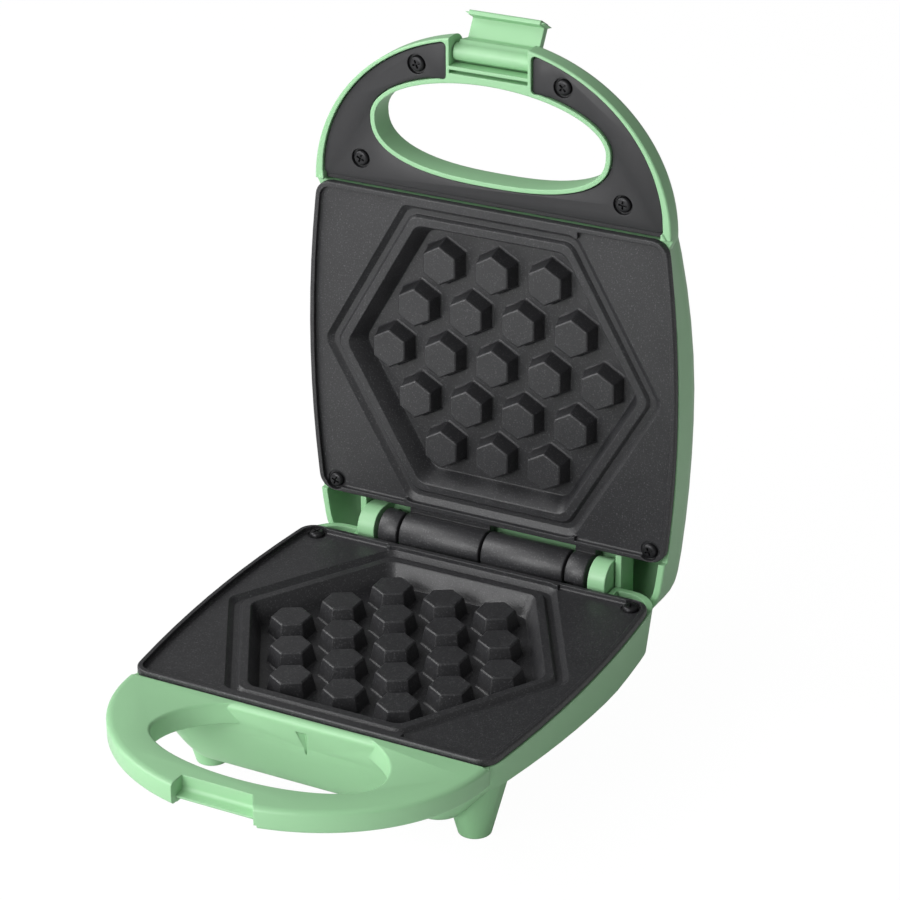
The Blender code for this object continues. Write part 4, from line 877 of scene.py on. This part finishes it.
def cut_latch_notch(made):
    """A set-back wall in the handle's front, curving out to a lip for the latch to hook under."""
    deep = -BASE_HANDLE_BOTTOM - OVERRUN
    rings = [notch_ring(NOTCH_LIP, deep), notch_ring(NOTCH_LIP, -NOTCH_SHELF - FIT)]
    for step in range(CORNER_STEPS + 1):
        angle = math.pi / 2 * step / CORNER_STEPS
        wall = NOTCH_WALL + NOTCH_HOLLOW * (1 - math.sin(angle))
        rings.append(notch_ring(wall, -NOTCH_SHELF + NOTCH_HOLLOW * (1 - math.cos(angle))))
    made.cut(loft(rings + [notch_ring(NOTCH_WALL, OVERRUN)]))
    past = HANDLE_CENTRE + HANDLE_REACH + OVERRUN
    wide = NOTCH_HALF - FIT
    made.cut(block(-wide, wide, NOTCH_DEEP, past, deep, -NOTCH_LIP_BOTTOM))


def cut_front_groove(made):
    """A shallow V that narrows down the front wall, seen through the handle."""
    lean = BASE_FRONT_LEAN / (BASE_WALL_FOOT - BASE_RISE - BASE_TOP)
    rings = []
    for below, share in ((VEE_TOP, 1), (VEE_BOTTOM, VEE_TIP_SHARE)):
        wall = BASE_FRONT - lean * (below - BASE_TOP)
        half = VEE_HALF * share
        back = wall + OVERRUN
        outline = [(0, wall - VEE_DEEP * share), (half, wall), (half, back), (-half, back),
                   (-half, wall)]
        rings.append(place(outline, -below))
    made.cut(loft(rings))


# Upper shell

def lid_ring(z, side, front, rear, blend=0, draw=LID_FRONT_DRAW):
    """A level of the lid, whose corners open out as it is drawn in over the crown."""
    half_width = LID_HALF_WIDTH - side
    room = min(half_width, (LID_FRONT - front - LID_REAR - rear) / 2)
    corners = [min(max(corner - side / 2, FIT) + blend, room * CORNER_ROOM_SHARE)
               for corner in (LID_CORNER, LID_FRONT_CORNER)]
    return place(bowed(half_width, LID_REAR + rear, LID_FRONT - front, *corners, draw), z)


def lid_outer():
    rings = [
        lid_ring(LID_RIM, LID_SOFT, LID_SOFT, LID_SOFT, draw=PLATE_FRONT_DRAW),
        lid_ring(LID_RIM + LID_SOFT, 0, 0, 0, draw=PLATE_FRONT_DRAW),
    ]
    crown = LID_SIDE + LID_EDGE
    steps = 3 * CORNER_STEPS
    for step in range(steps):
        angle = math.pi / 2 * step / (steps + 2)
        drawn = LID_EDGE * (1 - math.cos(angle))
        rings.append(lid_ring(LID_SIDE + LID_EDGE * math.sin(angle), drawn, drawn, drawn, drawn))
    for step in range(2 * CORNER_STEPS + 1):
        share = step / (2 * CORNER_STEPS)
        drawn = LID_CROWN_START + (LID_CROWN_END - LID_CROWN_START) * share
        angle = math.pi / 2 * (share + CROWN_LEAD_SHARE) / (1 + CROWN_LEAD_SHARE)
        rise = (LID_CROWN - crown) * math.sin(angle)
        rings.append(lid_ring(crown + rise, drawn, drawn, drawn, drawn))
    return rings


def lid_inner():
    """The hollow, with a thicker wall at the rim and a ledge along the front."""
    rings = [
        lid_ring(LID_RIM - OVERRUN, LID_RIM_WALL, LID_FRONT_LEDGE, WALL, draw=PLATE_FRONT_DRAW),
        lid_ring(LID_RIM_STEP, LID_RIM_WALL, LID_FRONT_LEDGE, WALL, draw=PLATE_FRONT_DRAW),
    ]
    edge = LID_EDGE - WALL
    for step in range(1, CORNER_STEPS + 2):
        angle = math.pi / 2 * step / (CORNER_STEPS + 1)
        drawn = WALL + edge * (1 - math.cos(angle))
        rings.append(lid_ring(LID_SIDE + edge * math.sin(angle), max(drawn, LID_RIM_WALL),
                              max(drawn, LID_FRONT_LEDGE), drawn, drawn))
    return rings


def lid_handle():
    rounds = LID_HANDLE_ROUND
    soft = LID_SOFT

    def edge(inset, z):
        return place(handle_outline(inset, LID_HANDLE_HALF, LID_HANDLE_REACH), z)

    rings = [edge(soft, LID_HANDLE_FACE), edge(0, LID_HANDLE_FACE + soft)]
    for step in range(2 * CORNER_STEPS + 1):
        angle = math.pi / 2 * step / (2 * CORNER_STEPS)
        rings.append(edge(rounds * (1 - math.cos(angle)),
                          LID_HANDLE_BACK - rounds * (1 - math.sin(angle))))
    made = Solid("lid_handle", loft(rings))
    soft = HOLE_ROUND
    rings = [opening(LID_HOLE, 0, LID_HANDLE_FACE - OVERRUN)]
    for step in range(HOLE_STEPS + 1):
        turn = math.radians(90 * step / HOLE_STEPS)
        drawn = soft * (1 - math.cos(turn))
        rings.append(opening(LID_HOLE, drawn, LID_HANDLE_BACK - soft * (1 - math.sin(turn)), drawn))
    rings.append(opening(LID_HOLE, soft, LID_HANDLE_BACK + OVERRUN, soft))
    made.cut(loft(rings))
    return made


def lid_housing():
    made = Solid("green_lid", loft(lid_outer()))
    made.join(lid_handle())
    hollow = Solid("lid_hollow", loft(lid_inner()))
    hollow.cut(flipped(hinge_wall()))
    made.cut(hollow)
    wide = LID_HALF_WIDTH + OVERRUN
    made.cut(block(-wide, wide, PLATE_REAR - FIT, PLATE_FRONT + FIT, -OVERRUN, PLATE_LIP_TALL + FIT))
    made.cut(block(-LID_FRONT_GAP_HALF, LID_FRONT_GAP_HALF, PLATE_FRONT - FIT, COVER_CENTRE + FIT,
                   -OVERRUN, LID_FRONT_GAP_DEEP))
    made.cut(block(-HINGE_GAP_HALF, HINGE_GAP_HALF, LID_REAR - 2 * OVERRUN,
                   PATTERN_CENTRE - GROOVE_OUTER - FIT, -2 * OVERRUN, HINGE_GAP_DEPTH))
    made.join(flipped(ear(-EAR_OUTER, -EAR_INNER)))
    made.cut(upright(LEAD_SIDE, LEAD_LID_AHEAD, LEAD_RADIUS + FIT, HINGE_GAP_DEPTH - FUSE,
                     HINGE_GAP_DEPTH + WALL + FUSE))
    face = LID_HANDLE_FACE
    made.cut(slab(cover_outline(COVER_EDGE_GAP), face - OVERRUN,
                  face + COVER_SUNK + COVER_THICK + FIT))
    made.cut(slab(cover_outline(-COVER_LEDGE), face, CHANNEL_TOP))
    cut_latch_pocket(made)
    for side in (-1, 1):
        made.cut(upright(side * LIGHT_SIDE, LIGHT_AHEAD, LENS_RADIUS, LID_CROWN - 3 * WALL,
                         LID_CROWN + OVERRUN))
    return finish_piece(made, LID_AT_REST, "lid", GREEN, ["lid_housing"])


def cut_latch_pocket(made):
    """Open to the front and back, with a back wall stepped to clear the latch as it turns."""
    past = HANDLE_CENTRE + LID_HANDLE_REACH + OVERRUN
    half = POCKET_HALF
    low = LID_HANDLE_FACE - OVERRUN
    high = LID_HANDLE_BACK + OVERRUN
    swept = LATCH_AHEAD - LATCH_REACH - LATCH_THICK - 2 * FIT
    made.cut(profile_across([
        (-past, low),
        (-past, high),
        (-swept, high),
        (-swept, LATCH_ABOVE),
        (-POCKET_REAR, LATCH_ABOVE),
        (-POCKET_REAR, low),
    ], -half, half))
    made.cut(block(-half, half, POCKET_SLOT_REAR, POCKET_SLOT_FRONT, low, POCKET_SLOT_DEEP))
    made.cut(cylinder((0, LATCH_AHEAD, LATCH_ABOVE), LATCH_PIN_BORE, 2 * (LATCH_PIN_HALF + FIT), "X"))


def handle_cover():
    low = LID_HANDLE_FACE + COVER_SUNK
    soft = COVER_SOFT
    made = Solid("handle_cover", loft([
        place(cover_outline(-soft), low),
        place(cover_outline(-soft / 3), low + soft / 3),
        place(cover_outline(0), low + soft),
        place(cover_outline(0), low + COVER_THICK),
    ]))
    for x, ahead in COVER_SCREWS:
        made.cut(upright(x, ahead, HEAD_RECESS + COVER_SOFT, low - OVERRUN, low + HEAD_RECESS_DEEP,
                         HEAD_RECESS))
        made.cut(upright(x, ahead, SCREW_SHANK + FIT, low, low + COVER_THICK + OVERRUN))
    # A sunken black lip put in the gap down to the plate: painted shade for the gap's deep shadow
    half = LID_FRONT_GAP_HALF - FIT
    made.join(block(-half, half, PLATE_FRONT + 2 * FIT, COVER_CENTRE + FUSE, low + PAINTED_SHADE_LIP_SUNK,
                    low + COVER_THICK - FIT))
    return finish_piece(made, LID_AT_REST, "lid", BLACK, ["lid_handle_cover"])


# Screws

def pan_screw(name, node, body, where, length=SCREW_LENGTH):
    """A domed head with a cross driven into it, standing on its seat, and a short shank."""
    tall = SCREW_HEAD_TALL
    levels = [(SCREW_SHANK, -length), (SCREW_SHANK, 0), (SCREW_HEAD, 0)]
    for step in range(HEAD_STEPS):
        angle = math.radians(90 * step / HEAD_STEPS)
        levels.append((SCREW_HEAD * math.cos(angle) ** HEAD_ROUND_SHARE, tall * math.sin(angle)))
    made = Solid(name, loft([
        [Vector((x, y, z)) for x, y in circle(radius, ROUND_SIDES)] for radius, z in levels
    ]))
    reach = SCREW_SLOT_HALF
    wide = SCREW_SLOT_WIDE
    cross = []
    for x, y in ((1, 1), (-1, 1), (-1, -1), (1, -1)):
        corner = [(x * reach, y * wide), (x * wide, y * wide), (x * wide, y * reach)]
        cross += corner if x == y else corner[::-1]
    shallow = [(x * SLOT_TAPER_SHARE, y * SLOT_TAPER_SHARE) for x, y in cross]
    made.cut(loft([place(shallow, tall - SCREW_SLOT_DEEP), place(cross, tall + FIT)]))
    return finish_piece(made, where, body, BLACK_STEEL, [node], SCREW_SHARP)


def screws():
    halves = (("lower", "base", BASE_AT_REST, 0), ("upper", "lid", LID_AT_REST, 1))
    for word, body, at_rest, over in halves:
        for side, end in ((-1, "left"), (1, "right")):
            seat = Matrix.Translation((side * PLATE_SCREW_SIDE, -PLATE_SCREW_AHEAD,
                                       PLATE_FLAT if over else -PLATE_FLAT))
            turn = Matrix.Rotation(math.pi * over, 4, "X") @ Matrix.Rotation(side * SCREW_TURN, 4, "Z")
            node = word + "_plate_screw_" + end
            pan_screw(word + "_corner_screw_" + end, node, body, at_rest @ seat @ turn)
    height = LID_HANDLE_FACE + COVER_SUNK + HEAD_RECESS_DEEP - FIT / 2
    for index, (x, ahead) in enumerate(COVER_SCREWS, 1):
        seat = Matrix.Translation((x, -ahead, height))
        turn = Matrix.Rotation(math.pi, 4, "X") @ Matrix.Rotation(index * SCREW_TURN, 4, "Z")
        pan_screw("handle_screw_%d" % index, "cover_screw_%d" % index, "lid", LID_AT_REST @ seat @ turn,
                  COVER_SCREW_LENGTH)


# Latch

def latch():
    """An L-shaped clip: a barrel on the pin, an arm over the edge and a hook at its foot."""
    inner = -LATCH_REACH
    outer = inner - LATCH_THICK
    hook = inner + LATCH_HOOK_IN
    foot = -LATCH_DROP
    soft = LATCH_CORNER
    section = rounded([
        (LATCH_BARREL * LATCH_TOP_SHARE, LATCH_BARREL, 0),
        (outer, LATCH_BARREL, LATCH_BARREL),
        (outer, foot, soft),
        (hook, foot, soft),
        (hook, foot + LATCH_HOOK_TALL, soft / 3),
        (inner, foot + LATCH_HOOK_TALL, soft / 2),
        (inner, -LATCH_SHOULDER, soft),
        (LATCH_HEEL_BACK, -LATCH_HEEL_DROP, soft),
        (LATCH_BARREL * LATCH_HEEL_SHARE, -LATCH_BARREL * LATCH_HEEL_RISE_SHARE, 0),
    ])
    made = Solid("green_latch", profile_across(section, -LATCH_HALF, LATCH_HALF))
    made.join(cylinder((0, 0, 0), LATCH_BARREL, 2 * LATCH_BARREL_HALF, "X"))
    for side in (-1, 1):
        tip = side * LATCH_LIP_HALF
        body = side * (LATCH_HALF - FUSE)
        high = foot + LATCH_HOOK_TALL
        outline = [(body, foot + soft), (body, high), (tip, foot + LATCH_HOOK_TALL / 2)]
        back = hook - soft / 2
        points = [(x, back, z) for x, z in outline]
        made.join(extruded(points, (0, outer + soft / 2 - back, 0)))
    made.cut(cylinder((0, 0, 0), LATCH_PIN_BORE, 2 * (LATCH_HALF + OVERRUN), "X"))
    return finish_piece(made, LATCH_AT_REST, "latch", GREEN, ["latch"])


# Lead between the halves

def link_lead():
    """The sleeved lead from base to lid, in an easy bend below the barrel."""
    route = smoothed([
        (-LEAD_INSIDE, -LEAD_BELOW),
        (LEAD_RADIUS / 2, -LEAD_BELOW),
        (HINGE_GAP_DEPTH / 2, (LEAD_LID_AHEAD - LEAD_BELOW) / 2),
        (HINGE_GAP_DEPTH - LEAD_RADIUS / 2, LEAD_LID_AHEAD),
        (HINGE_GAP_DEPTH + LEAD_INSIDE, LEAD_LID_AHEAD),
    ])
    rings = []
    for index, (y, z) in enumerate(route):
        before = Vector(route[max(index - 1, 0)])
        after = Vector(route[min(index + 1, len(route) - 1)])
        along = (after - before).normalized()
        centre = Vector((LEAD_SIDE, y, z))
        aside = Vector((0, -along.y, along.x))
        rings.append([
            centre + Vector((x, 0, 0)) + aside * over for x, over in circle(LEAD_RADIUS, ROUND_SIDES)
        ])
    made = Solid("sleeved_lead", loft(rings)).realised(BASE_AT_REST)
    made.data.shade_smooth()
    made.data.set_sharp_from_angle(angle=math.radians(LEAD_SHARP))
    made.data.materials.append(SLEEVE)
    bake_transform(made)
    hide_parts("link_lead")


def smoothed(route):
    """Points along a curve through a route of (behind, z)."""
    ends = [route[0]] + route + [route[-1]]
    curve = []
    for before, here, there, after in zip(ends, ends[1:], ends[2:], ends[3:]):
        for step in range(CURVE_STEPS):
            share = step / CURVE_STEPS
            curve.append(tuple(
                0.5 * (2 * b + (c - a) * share + (2 * a - 5 * b + 4 * c - d) * share ** 2
                       + (3 * b - a - 3 * c + d) * share ** 3)
                for a, b, c, d in zip(before, here, there, after)
            ))
    return curve + [route[-1]]


# Finishes

class Finish:
    """A procedural finish: mottled colour and sheen, a fine grain and softened edges."""

    def __init__(self, name, colour, roughness, metallic=0.0):
        self.material = bpy.data.materials.new(name)
        self.material.use_nodes = True
        self.tree = self.material.node_tree
        self.shader = self.tree.nodes["Principled BSDF"]
        self.shader.inputs["Metallic"].default_value = metallic
        self.shader.inputs["Roughness"].default_value = roughness
        self.colour = colour
        self.place = self.tree.nodes.new("ShaderNodeTexCoord").outputs["Object"]

    def link(self, output, socket):
        self.tree.links.new(output, socket)

    def noise(self, scale, detail=3.0, roughness=0.5):
        node = self.tree.nodes.new("ShaderNodeTexNoise")
        node.inputs["Scale"].default_value = scale
        node.inputs["Detail"].default_value = detail
        node.inputs["Roughness"].default_value = roughness
        self.link(self.place, node.inputs["Vector"])
        return node.outputs["Fac"]

    def spread(self, value, low, high, to_low, to_high):
        """One range of values mapped to another."""
        node = self.tree.nodes.new("ShaderNodeMapRange")
        ends = {"From Min": low, "From Max": high, "To Min": to_low, "To Max": to_high}
        for name, number in ends.items():
            node.inputs[name].default_value = number
        self.link(value, node.inputs["Value"])
        return node.outputs["Result"]

    def mix(self, factor, first, second):
        node = self.tree.nodes.new("ShaderNodeMix")
        node.data_type = "RGBA"
        self.link(factor, node.inputs["Factor"])
        for socket, colour in ((node.inputs["A"], first), (node.inputs["B"], second)):
            if isinstance(colour, tuple):
                socket.default_value = (*colour, 1)
            else:
                self.link(colour, socket)
        return node.outputs["Result"]

    def mottle(self, scale, amount, rough_amount):
        """Colour and roughness that drift over the surface."""
        cloud = self.noise(scale)
        factor = self.spread(cloud, CLOUD_LOW, CLOUD_HIGH, 0.0, 1.0)
        darker = tuple(channel * (1 - amount) for channel in self.colour)
        lighter = tuple(min(channel * (1 + amount), 1) for channel in self.colour)
        self.body = self.mix(factor, darker, lighter)
        middle = self.shader.inputs["Roughness"].default_value
        finer = self.noise(scale * 3)
        rough = self.spread(finer, CLOUD_LOW, CLOUD_HIGH, middle - rough_amount,
                            middle + rough_amount)
        self.link(rough, self.shader.inputs["Roughness"])

    def grain(self, scale, height, soft=0.0):
        """A fine bump, over edges rounded off in the shading."""
        bump = self.tree.nodes.new("ShaderNodeBump")
        bump.inputs["Strength"].default_value = 1.0
        bump.inputs["Distance"].default_value = height
        self.link(self.noise(scale, detail=4.0, roughness=0.6), bump.inputs["Height"])
        if soft:
            bevel = self.tree.nodes.new("ShaderNodeBevel")
            bevel.samples = BEVEL_SAMPLES
            bevel.inputs["Radius"].default_value = soft
            self.link(bevel.outputs["Normal"], bump.inputs["Normal"])
        self.link(bump.outputs["Normal"], self.shader.inputs["Normal"])

    def done(self):
        self.link(self.body, self.shader.inputs["Base Color"])
        return self.material


def plain(name, colour, roughness, metallic=0.0, soft=0.0, mottle=0.06, scale=90.0):
    """A plain finish with a little drift and a much finer grain."""
    made = Finish(name, colour, roughness, metallic)
    made.mottle(scale, mottle, PLAIN_DRIFT)
    made.grain(scale * GRAIN_FINER, PLAIN_GRAIN, soft)
    return made.done()


def coating():
    """A dark non-stick coat: satin, finely pebbled, with faint pale flecks."""
    made = Finish("coating", COATING_COLOUR, roughness=0.38)
    made.mottle(scale=60.0, amount=0.10, rough_amount=0.04)
    speckle = made.noise(scale=1900.0, detail=2.0, roughness=0.6)
    flecks = made.spread(speckle, low=0.57, high=0.72, to_low=0.0, to_high=0.6)
    made.body = made.mix(flecks, made.body, FLECK_COLOUR)
    made.grain(scale=2000.0, height=0.00009, soft=0.0005)
    return made.done()


def shell():
    """Satin green plastic with a very fine moulded texture."""
    made = Finish("green_plastic", GREEN_COLOUR, roughness=0.36)
    made.mottle(scale=14.0, amount=0.015, rough_amount=0.03)
    made.grain(scale=2600.0, height=0.000012, soft=0.0006)
    made.shader.inputs["Subsurface Weight"].default_value = GREEN_DEPTH
    made.shader.inputs["Subsurface Radius"].default_value = GREEN_DEPTH_REACH
    made.shader.inputs["Subsurface Scale"].default_value = 1.0
    return made.done()


COATING = coating()
GREEN = shell()
BLACK = plain("cover_plastic", (0.017, 0.017, 0.019), 0.46, soft=0.0003)
BLACK_STEEL = plain("blackened_steel", (0.022, 0.022, 0.024), 0.36, 0.6, soft=0.0001, scale=400.0)
SLEEVE = plain("lead_sleeve", (0.03, 0.03, 0.031), 0.6, scale=200.0)

# Finishes of the pieces that keep their first shape
KEPT = {
    plain("rubber", (0.022, 0.022, 0.022), 0.75, scale=300.0): ("foot_pad_", "cord_gland"),
    plain("pin_steel", (0.55, 0.55, 0.54), 0.28, 1.0, scale=500.0): ("hinge_pin", "latch_pin"),
    plain("tinned_steel", (0.58, 0.58, 0.56), 0.34, 1.0, mottle=0.12): ("heat_shield", "thermal_fuse"),
    plain("element_sheath", (0.20, 0.18, 0.16), 0.5, 1.0, mottle=0.2): ("heating_element",),
    plain("phenolic", (0.045, 0.030, 0.022), 0.45): ("thermostat", "terminal_block"),
    plain("lamp_glass", (0.75, 0.72, 0.66), 0.1): ("_lamp",),
    plain("red_lens", (0.50, 0.03, 0.02), 0.14, mottle=0.1): ("power_lens",),
    plain("green_lens", (0.06, 0.38, 0.08), 0.14, mottle=0.1): ("ready_lens",),
    BLACK_STEEL: ("shield_screw",),
}


def dress_kept():
    for name, node in frame["nodes"].items():
        for material, words in KEPT.items():
            if any(word in name for word in words):
                for index in range(len(node.data.materials)):
                    node.data.materials[index] = material


# Studio

def whitened(tree, shade, white, output, white_share):
    """One shader for the light, mixed with a white one by a share for what the camera sees."""
    ray = tree.nodes.new("ShaderNodeLightPath")
    share = tree.nodes.new("ShaderNodeMath")
    share.operation = "MULTIPLY"
    share.inputs[1].default_value = white_share
    blend = tree.nodes.new("ShaderNodeMixShader")
    tree.links.new(ray.outputs["Is Camera Ray"], share.inputs[0])
    tree.links.new(share.outputs[0], blend.inputs["Fac"])
    tree.links.new(shade.outputs[0], blend.inputs[1])
    tree.links.new(white.outputs[0], blend.inputs[2])
    tree.links.new(blend.outputs["Shader"], output.inputs["Surface"])


def outward(azimuth, elevation):
    """The way out from the object. Azimuth 0 is to the front and 90 to the right."""
    return Vector((
        math.sin(azimuth) * math.cos(elevation),
        -math.cos(azimuth) * math.cos(elevation),
        math.sin(elevation),
    ))


def floor():
    """A wide pale floor just under the feet, white to the camera but for the softest shade."""
    mesh = bpy.data.meshes.new("floor")
    wide = FLOOR_HALF
    corners = [(-wide, -wide, 0), (wide, -wide, 0), (wide, wide, 0), (-wide, wide, 0)]
    mesh.from_pydata(corners, [], [(0, 1, 2, 3)])
    made = added("floor", mesh)
    made.location.z = -FIT / 3
    material = bpy.data.materials.new("pale_floor")
    material.use_nodes = True
    tree = material.node_tree
    shade = tree.nodes["Principled BSDF"]
    shade.inputs["Base Color"].default_value = FLOOR_SHADE
    shade.inputs["Roughness"].default_value = FLOOR_ROUGHNESS
    white = tree.nodes.new("ShaderNodeEmission")
    white.inputs["Strength"].default_value = FLOOR_GLOW
    whitened(tree, shade, white, tree.nodes["Material Output"], FLOOR_WHITE_SHARE)
    mesh.materials.append(material)


def backdrop():
    """White where the camera sees it, and a dimmer grey where it lights the object."""
    world = bpy.data.worlds.new("studio")
    bpy.context.scene.world = world
    world.use_nodes = True
    tree = world.node_tree
    shade = tree.nodes["Background"]
    shade.inputs["Color"].default_value = WHITE
    shade.inputs["Strength"].default_value = SKY_STRENGTH
    white = tree.nodes.new("ShaderNodeBackground")
    white.inputs["Color"].default_value = WHITE
    white.inputs["Strength"].default_value = 1
    whitened(tree, shade, white, tree.nodes["World Output"], 1)


def softbox(name, azimuth, elevation, distance, size, power):
    """An area light aimed at the object."""
    light = bpy.data.lights.new(name, "AREA")
    light.shape = "RECTANGLE"
    light.size, light.size_y = size
    light.energy = power
    made = added(name, light)
    out = outward(azimuth, elevation)
    made.location = LIT_CENTRE + out * distance
    made.rotation_euler = out.to_track_quat("Z", "Y").to_euler()


def camera():
    made = added("camera", bpy.data.cameras.new("camera"))
    made.data.lens = CAMERA_LENS
    made.data.sensor_width = CAMERA_SENSOR
    back = outward(CAMERA_AZIMUTH, CAMERA_ELEVATION)
    right = Vector((math.cos(CAMERA_AZIMUTH), math.sin(CAMERA_AZIMUTH), 0))
    over = back.cross(right)
    turned_right = right * math.cos(CAMERA_ROLL) + over * math.sin(CAMERA_ROLL)
    turned_up = over * math.cos(CAMERA_ROLL) - right * math.sin(CAMERA_ROLL)
    turn = Matrix((turned_right, turned_up, back)).transposed().to_4x4()
    made.matrix_world = Matrix.Translation(HINGE + CAMERA_TARGET + back * CAMERA_DISTANCE) @ turn
    bpy.context.scene.camera = made


# The whole scene

base_housing()
lid_housing()
plate("lower_casting", "base", BASE_AT_REST, "lower")
plate("upper_casting", "lid", LID_AT_REST @ Matrix.Rotation(math.pi, 4, "Y"), "upper")
handle_cover()
latch()
screws()
link_lead()
dress_kept()
floor()
backdrop()
for name, lamp in SOFTBOXES.items():
    softbox(name, *lamp)
camera()
bpy.context.scene.view_settings.view_transform = "Standard"
